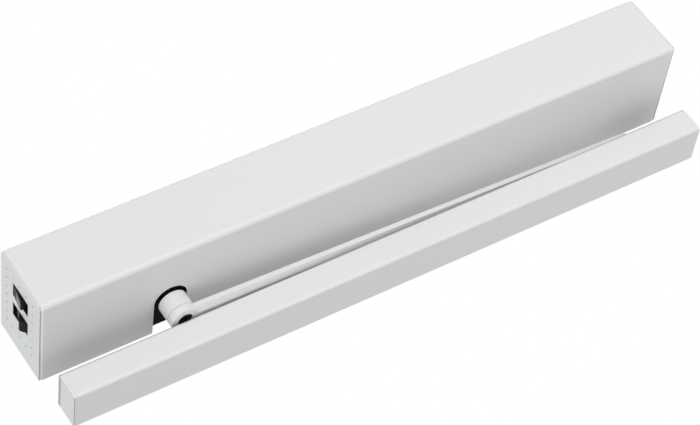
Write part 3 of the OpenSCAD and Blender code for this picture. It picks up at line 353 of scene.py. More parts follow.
class Paint(Nodes):
    """One procedural material under construction."""

    def __init__(self, name):
        self.material = bpy.data.materials.new(name)
        self.material.use_nodes = True
        super().__init__(self.material.node_tree)
        self.shader = self.tree.nodes["Principled BSDF"]
        self.place = self.node("ShaderNodeTexCoord", {}, {}, "Object")
        apart = self.node("ShaderNodeSeparateXYZ", {}, {"Vector": self.place})
        self.x, self.y, self.z = (Value(self, socket) for socket in apart.socket.node.outputs)

    def stretched(self, scale):
        """Object coordinates, stretched along the three axes."""
        return self.node("ShaderNodeMapping", {}, {"Vector": self.place, "Scale": scale}, "Vector")

    def noise(self, scale, detail=2.0, roughness=0.5, vector=None):
        """Soft cloudy pattern from 0 to 1."""
        return self.node("ShaderNodeTexNoise", {}, {
            "Vector": vector or self.place, "Scale": scale, "Detail": detail,
            "Roughness": roughness}, "Fac")

    def between(self, share, low, high):
        """A number that goes from low to high with a share from 0 to 1."""
        return share * (high - low) + low

    def tint(self, share, first, second):
        """A colour that goes from the first to the second with a share."""
        return self.node("ShaderNodeMix", {"data_type": "RGBA"}, {
            "Factor": share, 6: first, 7: second}, 2)

    def soft_edges(self, radius=0.3 * MM):
        """Surface direction with the sharp edges of a sawn or folded piece broken."""
        return self.node("ShaderNodeBevel", {"samples": 4}, {"Radius": radius}, "Normal")

    def bump(self, height, distance, strength=1.0, under=None):
        """Raises the surface by a height pattern, over an earlier bump if one is given."""
        inputs = {"Height": height, "Distance": distance, "Strength": strength}
        if under is not None:
            inputs["Normal"] = under
        return self.node("ShaderNodeBump", {}, inputs, "Normal")

    def finish(self, **sockets):
        """Feeds the shader's sockets, named with underscores for spaces."""
        for name, value in sockets.items():
            self.feed(self.shader.inputs[name.replace("_", " ")], value)
        return self.material


def darker(colour, share):
    """A colour multiplied by a share below one."""
    return tuple(channel * share for channel in colour)


def lighter(colour, share, most=1.0):
    """A colour multiplied by a share above one, up to a highest value."""
    return tuple(min(channel * share, most) for channel in colour)


# Finishes


def powder_coat(name, colour):
    """Satin white powder coat: faint orange peel, fine speckle and a slight change of tone.

    The lower lips of the cover's ends are painted lighter, a painted highlight, and the joint
    between the sleeve and the arm's head is painted darker in patches, a painted shade.
    """
    paint = Paint(name)
    cloud = paint.noise(7.0, 3.0, 0.55)
    peel = paint.noise(700.0, 2.0, 0.5)
    speckle = paint.noise(4200.0, 1.0, 0.5)
    tone = paint.tint(cloud, darker(colour, 0.985), colour)
    lip_width, lip_bottom, lip_top = 2.0 * MM, -40 * MM, -33.4 * MM
    cover_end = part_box("housing_cover")[1].x
    # The lower lips of the cover's ends are painted lighter: a painted highlight.
    painted_highlight_lip = (abs(paint.x) > cover_end - lip_width) * paint.z.within(lip_bottom, lip_top)
    tone = paint.tint(painted_highlight_lip, tone, lighter(colour, 1.16, 0.93))
    sleeve_low, sleeve_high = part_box("spindle_sleeve")
    # The joint between the sleeve and the arm's head is painted darker in patches: a painted shade.
    joint = (paint.z.within(sleeve_low.z - 0.3 * MM, sleeve_low.z + 0.45 * MM)
             * paint.x.within(sleeve_low.x - 1 * MM, sleeve_high.x))
    tone = paint.tint(joint * paint.noise(260.0, 2.0, 0.6), tone, darker(colour, 0.35))
    rough = paint.between(cloud, 0.30, 0.36) + paint.between(peel, -0.02, 0.02)
    grain = paint.bump(speckle, 0.01 * MM, 0.25)
    return paint.finish(
        Base_Color=tone, Roughness=rough, Specular_IOR_Level=0.42,
        Normal=paint.bump(peel, 0.02 * MM, 0.35, grain))


def moulded_white(name, colour, painted_shade_and_colour=None):
    """Moulded white plastic with a fine spark-eroded grain, and painted shade and colours where
    given.
    """
    paint = Paint(name)
    grain = paint.noise(2600.0, 2.0, 0.6)
    flow = paint.noise(14.0, 2.0, 0.5, paint.stretched((1.0, 1.0, 2.5)))
    tone = paint.tint(flow, darker(colour, 0.98), colour)
    return paint.finish(
        Base_Color=painted_shade_and_colour(paint, tone, colour) if painted_shade_and_colour else tone,
        Roughness=paint.between(grain, 0.38, 0.5), Specular_IOR_Level=0.45,
        Normal=paint.bump(grain, 0.02 * MM, 0.3))


def cap_painted_shade_and_rim(paint, tone, colour):
    """Painted shade in an end cap's pin marks and seams, and the coat's colour on the channel's
    rim.
    """
    inset = RIGHT_FACE - abs(paint.x)
    channel_below = -50 * MM
    # Pin marks are painted darker: painted shade in the hollows.
    painted_shade_pins = (inset.within(0.12 * MM, 1.45 * MM) * (abs(paint.z) < 33 * MM)
            * paint.y.within(-97.2 * MM, -0.5 * MM))
    # A strip of the cap's lower lip is painted darker: painted shade of the seam.
    seam = inset.within(0.1 * MM, 0.75 * MM) * paint.z.within(channel_below, -34.1 * MM)
    left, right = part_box("channel_left_cap")[0].x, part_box("channel_right_cap")[1].x
    rim = (paint.z < channel_below) * paint.x.within(left + 0.3 * MM, right - 0.3 * MM)
    # The channel cap's lower seam at the left end is painted darker: painted shade.
    painted_shade_rim_seam = rim * (paint.z < -88.6 * MM) * (paint.x < left + 0.9 * MM)
    tone = paint.tint(rim, tone, tuple(bpy.context.scene.operator_finish.coat))
    tone = paint.tint(seam.largest(painted_shade_rim_seam), tone, darker(colour, 0.45))
    return paint.tint(painted_shade_pins, tone, darker(colour, 0.42))


def moulded_black(name, colour, gloss=0.5, shine=0.2, grain_depth=0.02):
    """Black plastic with a fine grain and faint smears."""
    paint = Paint(name)
    grain = paint.noise(2200.0, 2.0, 0.6)
    smear_and_painted_sheen = paint.noise(60.0, 3.0, 0.6, paint.stretched((1.0, 1.0, 0.4)))
    tone = paint.tint(smear_and_painted_sheen, colour, tuple(min(1.0, 1.6 * channel + 0.002) for channel in colour))
    return paint.finish(
        Base_Color=tone, Roughness=paint.between(smear_and_painted_sheen, gloss - 0.06, gloss + 0.1),
        Specular_IOR_Level=shine,
        Normal=paint.bump(grain, grain_depth * MM, 0.4, paint.soft_edges()))


def rocker_plastic(name, colour):
    """Black rocker plastic: matt sides, and a polished face with smears and a painted lighter-grey
    highlight.
    """
    paint = Paint(name)
    smear_and_painted_sheen = paint.noise(260.0, 3.0, 0.6, paint.stretched((1.0, 1.0, 0.25)))
    slant = paint.z * 0.35 + paint.y
    face = 0.0
    for node, bottom, below_top in (("program_rocker", -5.4 * MM, 6.8 * MM),
                                    ("power_rocker", -0.5 * MM, 4.2 * MM)):
        centre, top = middle_of(node).y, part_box(node)[1].z
        face = face + ((slant > centre - 3.0 * MM) * (paint.y < centre + 6.9 * MM)
                       * paint.z.within(bottom, top - below_top))
    upper_edge = ((paint.y > middle_of("power_rocker").y - 7 * MM)
                  * (paint.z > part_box("power_rocker")[1].z - 3.4 * MM))
    streak = paint.noise(420.0, 2.0, 0.6, paint.stretched((1.0, 1.0, 0.12)))
    polish = paint.between(streak, -0.9, 1.9).largest(0.25)
    # Smeared parts of each rocker's face are painted a lighter grey: a painted highlight of its
    # gleam.
    tone = paint.tint(face * smear_and_painted_sheen, colour, (0.06, 0.06, 0.065))
    return paint.finish(
        Base_Color=tone, Roughness=paint.between(smear_and_painted_sheen, 0.4, 0.55), Specular_IOR_Level=0.1,
        Coat_Weight=face * polish + upper_edge * 0.45, Coat_Roughness=0.14,
        Normal=paint.bump(smear_and_painted_sheen, 0.01 * MM, 0.2))


def zinc_plate(name, colour):
    """Bright zinc on sheet steel, with crystals and rolling marks."""
    paint = Paint(name)
    crystals = paint.node("ShaderNodeTexVoronoi", {"feature": "F1"}, {
        "Vector": paint.place, "Scale": 420.0}, "Color")
    level = paint.node("ShaderNodeSeparateColor", {}, {"Color": crystals}, 0)
    rolled = paint.noise(90.0, 2.0, 0.6, paint.stretched((0.04, 1.0, 12.0)))
    tone = paint.tint(level, darker(colour, 0.9), lighter(colour, 1.06))
    rough = paint.between(level, 0.30, 0.42) + paint.between(rolled, -0.05, 0.05)
    return paint.finish(
        Base_Color=tone, Roughness=rough, Metallic=1.0,
        Normal=paint.bump(rolled, 0.01 * MM, 0.3, paint.soft_edges(0.4 * MM)))


def turned_steel(name, colour):
    """Machined steel with fine cutting marks and a thin film of oil; the spindle's lowest part is
    painted matt black as shade.
    """
    paint = Paint(name)
    marks = paint.noise(900.0, 2.0, 0.6, paint.stretched((0.3, 0.3, 6.0)))
    film = paint.noise(35.0, 3.0, 0.6)
    tone = paint.tint(film, darker(colour, 0.85), colour)
    rough = paint.between(film, 0.26, 0.42) + paint.between(marks, -0.04, 0.04)
    # The spindle's lowest part in the notch is painted matt black, not metal: a painted shade.
    painted_shade_foot = (paint.x.within(-209 * MM, -192 * MM) * (paint.z < -24 * MM)
            * (paint.y < -29 * MM))
    return paint.finish(
        Base_Color=paint.tint(painted_shade_foot, tone, (0.004, 0.004, 0.004)), Metallic=1.0 - painted_shade_foot,
        Roughness=rough + painted_shade_foot * 0.3,
        Normal=paint.bump(marks, 0.01 * MM, 0.3, paint.soft_edges()))


def sealed_bearing(name, colour):
    """Ground steel outer ring round black rubber seals, with the black painted over the inner ring
    too, as shade.
    """
    paint = Paint(name)
    centre = middle_of("lower_bearing")
    across, deep = paint.x - centre.x, paint.y - centre.y
    # Black within 13.6 mm of the axis: the rubber seals, and painted shade where it covers the
    # inner ring.
    seal_and_painted_shade = (across * across + deep * deep).root() < 13.6 * MM
    film = paint.noise(35.0, 3.0, 0.6)
    lines = paint.noise(60.0, 2.0, 0.5, paint.stretched((1.0, 1.0, 30.0)))
    steel = paint.tint(film, darker(colour, 0.85), colour)
    return paint.finish(
        Base_Color=paint.tint(seal_and_painted_shade, steel, (0.02, 0.02, 0.02)), Metallic=1.0 - seal_and_painted_shade,
        Roughness=paint.between(seal_and_painted_shade, 0.22, 0.6) + paint.between(film, -0.03, 0.05),
        Normal=paint.bump(lines, 0.01 * MM, 0.3, paint.soft_edges()))


def casting(name, colour, metallic=1.0, rough=(0.45, 0.6), shine=0.5):
    """Cast surface with a blasted grain and soft pits."""
    paint = Paint(name)
    blast = paint.noise(900.0, 3.0, 0.65)
    pits = paint.noise(220.0, 2.0, 0.5)
    tone = paint.tint(pits, darker(colour, 0.88), colour)
    return paint.finish(
        Base_Color=tone, Roughness=paint.between(blast, *rough), Metallic=metallic,
        Specular_IOR_Level=shine,
        Normal=paint.bump(blast, 0.06 * MM, 0.5, paint.soft_edges(0.6 * MM)))


def anodised(name, colour):
    """Natural anodised aluminium with the lines of its extrusion along X."""
    paint = Paint(name)
    lines = paint.noise(900.0, 3.0, 0.7, paint.stretched((0.004, 1.0, 1.0)))
    cloud = paint.noise(10.0, 2.0, 0.5)
    tone = paint.tint(lines, darker(colour, 0.92), colour)
    rough = paint.between(cloud, 0.3, 0.36) + paint.between(lines, -0.04, 0.06)
    return paint.finish(
        Base_Color=tone, Roughness=rough, Metallic=0.85,
        Normal=paint.bump(lines, 0.01 * MM, 0.3, paint.soft_edges(0.25 * MM)))


def circuit_board(name, colour):
    """Green solder resist over copper tracks that run along the board and across it."""
    paint = Paint(name)
    across = paint.node("ShaderNodeTexWave", {"wave_type": "BANDS", "bands_direction": "Z"}, {
        "Vector": paint.place, "Scale": 90.0, "Distortion": 3.0, "Detail": 1.0,
        "Detail Scale": 0.6}, "Fac")
    along = paint.node("ShaderNodeTexWave", {"wave_type": "BANDS", "bands_direction": "X"}, {
        "Vector": paint.place, "Scale": 60.0, "Distortion": 4.0, "Detail": 1.0,
        "Detail Scale": 0.5}, "Fac")
    tracks = (across > 0.62) * (along > 0.35)
    tone = paint.tint(tracks, colour, tuple(min(1.0, 1.5 * channel + 0.01) for channel in colour))
    return paint.finish(
        Base_Color=tone, Roughness=paint.between(tracks, 0.36, 0.28), Coat_Weight=0.3,
        Normal=paint.bump(tracks, 0.04 * MM, 0.6))


def rubber(name, colour):
    """Matt black rubber with a dusty bloom."""
    paint = Paint(name)
    bloom = paint.noise(120.0, 3.0, 0.6)
    grain = paint.noise(1500.0, 2.0, 0.5)
    tone = paint.tint(bloom, colour, tuple(channel + 0.02 for channel in colour))
    return paint.finish(
        Base_Color=tone, Roughness=paint.between(bloom, 0.6, 0.8), Specular_IOR_Level=0.2,
        Normal=paint.bump(grain, 0.03 * MM, 0.4, paint.soft_edges(0.5 * MM)))


MAKERS = {
    "white_cover": powder_coat,
    "white_cap": lambda name, colour: moulded_white(name, colour, cap_painted_shade_and_rim),
    "white_paint": powder_coat,
    "zinc_steel": zinc_plate,
    "spring_steel": turned_steel,
    "cast_aluminium": casting,
    "black_casting": lambda name, colour: casting(
        name, darker(colour, 0.3), metallic=0.0, rough=(0.7, 0.85), shine=0.08),
    "bearing_steel": sealed_bearing,
    "machined_steel": turned_steel,
    "motor_black": lambda name, colour: moulded_black(
        name, colour, gloss=0.4, shine=0.4, grain_depth=0.01),
    "black_plastic": lambda name, colour: moulded_black(
        name, darker(colour, 0.3), gloss=0.6, shine=0.1),
    "black_steel": lambda name, colour: moulded_black(
        name, darker(colour, 0.5), gloss=0.5, shine=0.12, grain_depth=0.01),
    "circuit_board": circuit_board,
    "component_black": moulded_black,
    "natural_plastic": moulded_white,
    "green_plastic": lambda name, colour: moulded_black(name, colour, gloss=0.4, shine=0.5),
    "black_rubber": rubber,
    "slide_plastic": moulded_black,
    "anodised_aluminium": anodised,
    "rocker_black": lambda name, colour: rocker_plastic(name, darker(colour, 0.5)),
}
COLOURS = {item["slot"]: tuple(item["base_color"]) for item in frame["record"]["materials"]}
made_finishes = {}


def finish_of(slot):
    """The finish of one material slot, made the first time it is asked for."""
    if slot not in made_finishes:
        colours = bpy.context.scene.operator_finish
        given = {"white_cover": colours.coat, "white_paint": colours.paint,
                 "white_cap": colours.caps, "anodised_aluminium": colours.rail}
        made_finishes[slot] = MAKERS[slot](slot, tuple(given.get(slot, COLOURS[slot])))
    return made_finishes[slot]


# Sizes and colours that a user may change


class HousingSizes(PropertyGroup):
    """Sizes of the housing's cover and end caps."""

    edge_radius: FloatProperty(
        name="Edge radius", description="Radius of the two long front edges of the cover",
        default=4.5 * MM, min=1 * MM, max=8 * MM, unit="LENGTH")
    wall: FloatProperty(
        name="Cover wall", description="Wall thickness of the cover",
        default=1.6 * MM, min=1 * MM, max=2 * MM, unit="LENGTH")
    notch_radius: FloatProperty(
        name="Notch radius", description="Radius of the notch round the spindle",
        default=16 * MM, min=14 * MM, max=20 * MM, unit="LENGTH")
    small_edge: FloatProperty(
        name="Small edges", description="Rounding of the small outer edges",
        default=0.35 * MM, min=0.05 * MM, max=1 * MM, unit="LENGTH")
    window_width: FloatProperty(
        name="Window width", description="Width of a switch window",
        default=16.2 * MM, min=15 * MM, max=17 * MM, unit="LENGTH")
    window_height: FloatProperty(
        name="Window height", description="Height of a switch window",
        default=26.4 * MM, min=26 * MM, max=28 * MM, unit="LENGTH")
    mark_pitch: FloatProperty(
        name="Mark pitch", description="Distance between neighbouring pin marks on a cap",
        default=11.15 * MM, min=10 * MM, max=11.5 * MM, unit="LENGTH")
    mark_radius: FloatProperty(
        name="Mark radius", description="Radius of a pin mark on a cap",
        default=0.9 * MM, min=0.4 * MM, max=1 * MM, unit="LENGTH")
    seam: FloatProperty(
        name="Cap seam", description="Width of the shadow gap between the cover and a cap",
        default=0.15 * MM, min=0.1 * MM, max=0.8 * MM, unit="LENGTH")
    end_edge: FloatProperty(
        name="Cover end edges", description="Rounding of the cover's edges beside a cap",
        default=0.6 * MM, min=0.2 * MM, max=1.4 * MM, unit="LENGTH")
    frame_wall: FloatProperty(
        name="Window frame", description="Wall of the frame that lines a window",
        default=0.8 * MM, min=0.5 * MM, max=1.2 * MM, unit="LENGTH")


class ArmSizes(PropertyGroup):
    """Sizes of the slide arm."""

    edge_radius: FloatProperty(
        name="Edge radius", description="Radius of the upper long edges of the arm",
        default=0.7 * MM, min=0.5 * MM, max=2 * MM, unit="LENGTH")
    head_edge: FloatProperty(
        name="Head edge", description="Radius of the lower edge of the arm's round head",
        default=1.3 * MM, min=0.5 * MM, max=2 * MM, unit="LENGTH")
    slope: FloatProperty(
        name="Slope", description="Width of the slope along each side of the arm's underside",
        default=6.5 * MM, min=4 * MM, max=8 * MM, unit="LENGTH")
    slope_rise: FloatProperty(
        name="Slope rise", description="How far the slope rises towards the arm's side",
        default=2.3 * MM, min=1 * MM, max=3 * MM, unit="LENGTH")
    recess_radius: FloatProperty(
        name="Recess radius", description="Radius of the recess for the arm screw",
        default=7 * MM, min=6 * MM, max=8 * MM, unit="LENGTH")
    head_room: FloatProperty(
        name="Head room", description="How far the sleeve's painted edge stays below its top",
        default=1.1 * MM, min=0, max=2 * MM, unit="LENGTH")
    turn: FloatProperty(
        name="Turn", description="Turn of the arm towards the wall with the door shut",
        default=math.radians(2.25), min=0, max=math.radians(3), subtype="ANGLE")


class ChannelSizes(PropertyGroup):
    """Sizes of the door channel."""

    edge_radius: FloatProperty(
        name="Edge radius", description="Radius of the long edges of the channel cover",
        default=3 * MM, min=0.5 * MM, max=4 * MM, unit="LENGTH")
    skin: FloatProperty(
        name="Skin", description="Wall thickness of the clip-on channel cover",
        default=1.4 * MM, min=1 * MM, max=1.6 * MM, unit="LENGTH")
    flange: FloatProperty(
        name="Rail flange", description="Thickness of the slotted flange on top of the rail",
        default=3.4 * MM, min=3 * MM, max=3.8 * MM, unit="LENGTH")


class FinishColours(PropertyGroup):
    """Colours of the visible finishes."""

    coat: FloatVectorProperty(
        name="Coat", description="Colour of the powder coat", subtype="COLOR",
        default=(0.80, 0.795, 0.785), min=0, max=1)
    caps: FloatVectorProperty(
        name="End caps", description="Colour of the moulded end caps", subtype="COLOR",
        default=(0.745, 0.765, 0.77), min=0, max=1)
    paint: FloatVectorProperty(
        name="Paint", description="Colour of the painted arm and sleeve", subtype="COLOR",
        default=(0.815, 0.81, 0.802), min=0, max=1)
    rail: FloatVectorProperty(
        name="Rail", description="Colour of the anodised rail", subtype="COLOR",
        default=(0.38, 0.385, 0.39), min=0, max=1)


class StageSettings(PropertyGroup):
    """Camera and light of the stage."""

    focal_length: FloatProperty(
        name="Focal length", description="Focal length of the camera in millimetres",
        default=129.69, min=20, max=300)
    ambient: FloatProperty(
        name="Ambient", description="Strength of the even light from all round",
        default=0.57, min=0, max=2)
    key: FloatProperty(
        name="Light panels", description="Strength of the light panels round the object",
        default=1.0, min=0, max=10)
    side: FloatProperty(
        name="Side light", description="Strength of the soft light on the left end",
        default=1.18, min=0, max=10)


# Operators, one for each group of pieces


class DOOROP_OT_cover(Operator):
    """Folded cover with soft long edges, snap ridges and the notch round the spindle."""

    bl_idname = "doorop.cover"
    bl_label = "Housing cover"

    def execute(self, context):
        sizes = context.scene.operator_housing
        low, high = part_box("housing_cover")
        low.x += sizes.seam
        high.x -= sizes.seam
        shell = add_box("cover_shell", low, high)
        with editing(shell):
            pick(shell, "FACE", lambda f: f.normal.y > 0.9 or abs(f.normal.x) > 0.9)
            bpy.ops.mesh.delete(type="FACE")
            pick(shell, "EDGE", lambda e: runs_along(e, 0) and near(middle(e).y, low.y))
            bpy.ops.mesh.bevel(offset=sizes.edge_radius, segments=10, affect="EDGES")
        modify(shell, "SOLIDIFY", thickness=sizes.wall, offset=-1.0, use_even_offset=True)

        def outer_end(edge):
            """Whether an edge is on the outer side of one of the two open ends."""
            first, second = (vertex.co for vertex in edge.verts)
            if not near(first.x, second.x) or first.y > -1 * MM and second.y > -1 * MM:
                return False
            spot = middle(edge)
            inset = max(abs(spot.z) + sizes.edge_radius - high.z, 0)
            depth = max(low.y + sizes.edge_radius - spot.y, 0)
            corner = math.hypot(inset, depth) > sizes.edge_radius - 0.2 * MM
            return (near(spot.x, low.x) or near(spot.x, high.x)) and corner

        lower_lip = 2.4 * sizes.end_edge
        for offset, segments, lower in ((sizes.end_edge, 3, False), (lower_lip, 1, True)):
            with editing(shell):
                pick(shell, "EDGE",
                     lambda e: outer_end(e) and near(middle(e).z, low.z) == lower)
                bpy.ops.mesh.bevel(offset=offset, segments=segments, affect="EDGES")
        inner = high.z - sizes.wall
        ridge_end, ridge_front, ridge_back, ridge_height = 7.8 * MM, -13.5 * MM, -12 * MM, 1.8 * MM
        for side in (-1, 1):
            bottom, top = sorted((side * (inner + 0.1 * MM), side * (inner - ridge_height)))
            weld(shell, add_box("ridge", (low.x + ridge_end, ridge_front, bottom),
                                (high.x - ridge_end, ridge_back, top)))
        axis = middle_of("spindle")
        under, over = low.z - 2 * MM, low.z + 5 * MM
        hole = add_rod("notch", (axis.x, axis.y, under), (axis.x, axis.y, over),
                       sizes.notch_radius, 96)
        mouth = add_box("mouth", (axis.x - sizes.notch_radius, axis.y, under),
                        (axis.x + sizes.notch_radius, 2 * MM, over))
        cut(shell, hole, mouth)
        clean(shell)
        soften(shell, sizes.small_edge)
        stands_for(shell, "housing", "housing_cover")
        return {"FINISHED"}


def rounded_block(name, low, high, radius):
    """A block open to the wall side, with its two long front edges round."""
    block = add_box(name, low, high)
    with editing(block):
        pick(block, "EDGE", lambda e: runs_along(e, 0) and near(middle(e).y, low[1]))
        bpy.ops.mesh.bevel(offset=radius, segments=10, affect="EDGES")
    return block


def end_cap(name, side, sizes):
    """Moulded cap of one end: face, hollow plug, screw bosses and pin marks."""
    node_low, node_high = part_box("left_end_cap" if side < 0 else "right_end_cap")
    outer = node_low.x if side < 0 else node_high.x
    front, half = node_low.y, node_high.z

    def along(first, last):
        """Low and high X of a stretch, measured inwards from the outer face in millimetres."""
        return sorted((outer - side * first * MM, outer - side * last * MM))

    def stretch(name, first, last, inset, radius, back=0.0):
        """A rounded block over a stretch, drawn in from the outline, all in millimetres."""
        x0, x1 = along(first, last)
        return rounded_block(
            name, (x0, front + inset * MM, -half + inset * MM), (x1, back, half - inset * MM),
            radius * MM)

    def rod(name, first, last, y, z, radius, sides):
        """A rod along X over a stretch."""
        x0, x1 = along(first, last)
        return add_rod(name, (x0, y, z), (x1, y, z), radius, sides)

    cap = stretch(name, first=0, last=1.2, inset=0, radius=3.8)
    plug = stretch("plug", first=1.0, last=9, inset=1.05, radius=2.75)
    cut(plug, stretch("hollow", first=3, last=10, inset=2.85, radius=1.0, back=2 * MM))
    weld(cap, plug)
    boss_front, boss_back, boss_height = front + 12.8 * MM, -12 * MM, 23 * MM
    for y in (boss_front, boss_back):
        for z in (-boss_height, boss_height):
            weld(cap, rod("boss", 2.5, 9, y, z, radius=4 * MM, sides=40))
            cut(cap, rod("bore", 4, 10, y, z, radius=1.5 * MM, sides=24))
    columns, rows = 7, 5
    middle_y, middle_z = -53.3 * MM, 0.9 * MM
    marks = []
    for column in range(columns):
        for row in range(rows):
            if column in (0, columns - 1) or row in (0, rows - 1):
                y = middle_y + (column - columns // 2) * sizes.mark_pitch
                z = middle_z + (row - rows // 2) * sizes.mark_pitch
                marks.append(rod("mark", -1, 1.4, y, z, sizes.mark_radius, sides=20))
    join(*marks)
    cut(cap, marks[0])
    return cap


class DOOROP_OT_end_caps(Operator):
    """Moulded end caps with pin marks, and the two switch windows in the left one."""

    bl_idname = "doorop.end_caps"
    bl_label = "End caps"

    def execute(self, context):
        sizes = context.scene.operator_housing
        left = end_cap("cap_left", -1, sizes)
        half = Vector((3 * MM, sizes.window_width / 2, sizes.window_height / 2))
        window_z = -0.6 * MM
        for node in ("program_rocker", "power_rocker"):
            centre = Vector((LEFT_FACE + 1 * MM, middle_of(node).y, window_z))
            cut(left, add_box("window", centre - half, centre + half))
        right = end_cap("cap_right", 1, sizes)
        for cap, node in ((left, "left_end_cap"), (right, "right_end_cap")):
            clean(cap)
            soften(cap, 0.16 * MM)
            stands_for(cap, "housing", node)
        return {"FINISHED"}


PROGRAM_PROFILE = (
    (0, -2.9), (5.6, -2.6), (7.0, 1.8), (7.9, 2.45), (9.2, 2.4), (22.4, 0.3), (24.1, 0.0))
POWER_PROFILE = (
    (0, 1.0), (2.4, 1.4), (5.4, 3.7), (6.6, 4.05), (7.8, 3.7), (13.6, 0.1), (24.1, -2.8))


def rocker(name, node, profile, half_width):
    """A rocker whose face follows a profile.

    Each point of the profile gives a height above the rocker's lower end and how far the face
    stands out of the cap, in millimetres.
    """
    low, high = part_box(node)
    centre = (low + high) / 2
    pivot = LEFT_FACE + 6 * MM
    reach = (high.z - low.z) / 2
    spare = 1 * MM
    body = add_box(name, (pivot - spare, centre.y - half_width, low.z - spare),
                   (pivot + 9 * MM, centre.y + half_width, high.z + spare))
    heights = [low.z + up * MM for up, _ in profile]
    heights[0], heights[-1] = low.z - spare, high.z + spare
    for height in heights[1:-1]:
        with editing(body):
            bpy.ops.mesh.select_all(action="SELECT")
            bpy.ops.mesh.bisect(plane_co=(0, 0, height), plane_no=(0, 0, 1))
    for height, (_, proud) in zip(heights, profile):
        with editing(body):
            pick(body, "VERT", lambda v: v.co.x < pivot and near(v.co.z, height))
            bpy.ops.transform.translate(value=(LEFT_FACE - proud * MM - pivot + spare, 0, 0))
    keep_inside(body, add_rod("rim", (pivot, low.y - spare, centre.z),
                              (pivot, high.y + spare, centre.z), reach, 96))
    clean(body)
    soften(body, 0.4 * MM, segments=3, angle=12)
    pin = add_rod("pin", (pivot, low.y, centre.z), (pivot, high.y, centre.z), 1.5 * MM, 32)
    soften(pin, 0.2 * MM)
    join(body, pin)
    return body


class DOOROP_OT_rockers(Operator):
    """Program rocker with a step in its face, and power rocker with its lower half proud."""

    bl_idname = "doorop.rockers"
    bl_label = "Rocker switches"

    def execute(self, context):
        sizes = context.scene.operator_housing
        play = 0.35 * MM
        half_width = sizes.window_width / 2 - sizes.frame_wall - play
        for name, node, profile in (("rocker_program", "program_rocker", PROGRAM_PROFILE),
                                    ("rocker_power", "power_rocker", POWER_PROFILE)):
            stands_for(rocker(name, node, profile, half_width), node, node)
        return {"FINISHED"}


class DOOROP_OT_arm(Operator):
    """Slide arm with its round head and recess, and the sleeve above it."""

    bl_idname = "doorop.arm"
    bl_label = "Slide arm and sleeve"

    def execute(self, context):
        sizes = context.scene.operator_arm
        sleeve_low, sleeve_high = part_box("spindle_sleeve")
        axis, pivot = middle_of("spindle_sleeve"), middle_of("pivot_pin")
        head_radius = (sleeve_high.x - sleeve_low.x) / 2
        half_width, spigot = 9.75 * MM, 6.35 * MM
        screw_radius, pin_radius, socket_radius = 4 * MM, 5 * MM, 8 * MM
        low_z, high_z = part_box("swing_arm")[0].z, sleeve_low.z
        length = math.hypot(pivot.x - axis.x, pivot.y - axis.y)
        arm = add_rod("slide_arm", (0, 0, low_z), (0, 0, high_z), half_width, 96)
        head = add_rod("arm_head", (0, 0, low_z), (0, 0, high_z), head_radius, 96)
        with editing(arm):
            pick(arm, "VERT", lambda v: v.co.x > -0.01 * MM)
            bpy.ops.transform.translate(value=(length, 0, 0))
        for piece, level, offset, segments in (
                (arm, high_z, sizes.edge_radius, 6), (arm, low_z, sizes.slope, 1),
                (head, low_z, sizes.head_edge, 6)):
            with editing(piece):
                pick(piece, "EDGE", lambda e: lies_at(e, level))
                bpy.ops.mesh.bevel(offset=offset, segments=segments, affect="EDGES")
        with editing(arm):
            pick(arm, "VERT", lambda v: near(v.co.z, low_z + sizes.slope))
            bpy.ops.transform.translate(value=(0, 0, sizes.slope_rise - sizes.slope))
        weld(arm, head)
        clean(arm)

        def drill(x, bottom, top, radius, sides):
            """Cuts a hole along Z out of the arm, at a distance from the spindle."""
            cut(arm, add_rod("drill", (x, 0, bottom), (x, 0, top), radius, sides))

        drill(0, low_z - 2 * MM, low_z + 5 * MM, sizes.recess_radius, 64)
        drill(0, low_z, high_z + 2 * MM, screw_radius, 40)
        weld(arm, add_box("spigot", (-spigot, -spigot, high_z - 1 * MM),
                          (spigot, spigot, high_z + 3.6 * MM)))
        drill(0, high_z - 1 * MM, high_z + 6 * MM, screw_radius, 40)
        drill(length, low_z - 1 * MM, high_z + 1 * MM, pin_radius, 48)
        soften(arm, 0.25 * MM, segments=2, angle=50)
        arm.rotation_quaternion = Quaternion((0, 0, 1), sizes.turn)
        arm.location = (axis.x, axis.y, 0)
        place(arm, "slide_arm")
        stands_for(arm, "spindle", "swing_arm")

        top = sleeve_high.z - sizes.head_room
        sleeve = add_rod("arm_sleeve", (axis.x, axis.y, sleeve_low.z), (axis.x, axis.y, top),
                         head_radius, 96)
        with editing(sleeve):
            pick(sleeve, "EDGE", lambda e: near(middle(e).z, top))
            bpy.ops.mesh.bevel(offset=0.5 * MM, segments=3, affect="EDGES")
            pick(sleeve, "EDGE", lambda e: lies_at(e, sleeve_low.z))
            bpy.ops.mesh.bevel(offset=0.25 * MM, segments=2, affect="EDGES")
        cut(sleeve, add_rod("socket", (axis.x, axis.y, sleeve_low.z - 1 * MM),
                            (axis.x, axis.y, sleeve_high.z + 1 * MM), socket_radius, 64))
        shade(sleeve)
        stands_for(sleeve, "spindle", "spindle_sleeve")
        return {"FINISHED"}


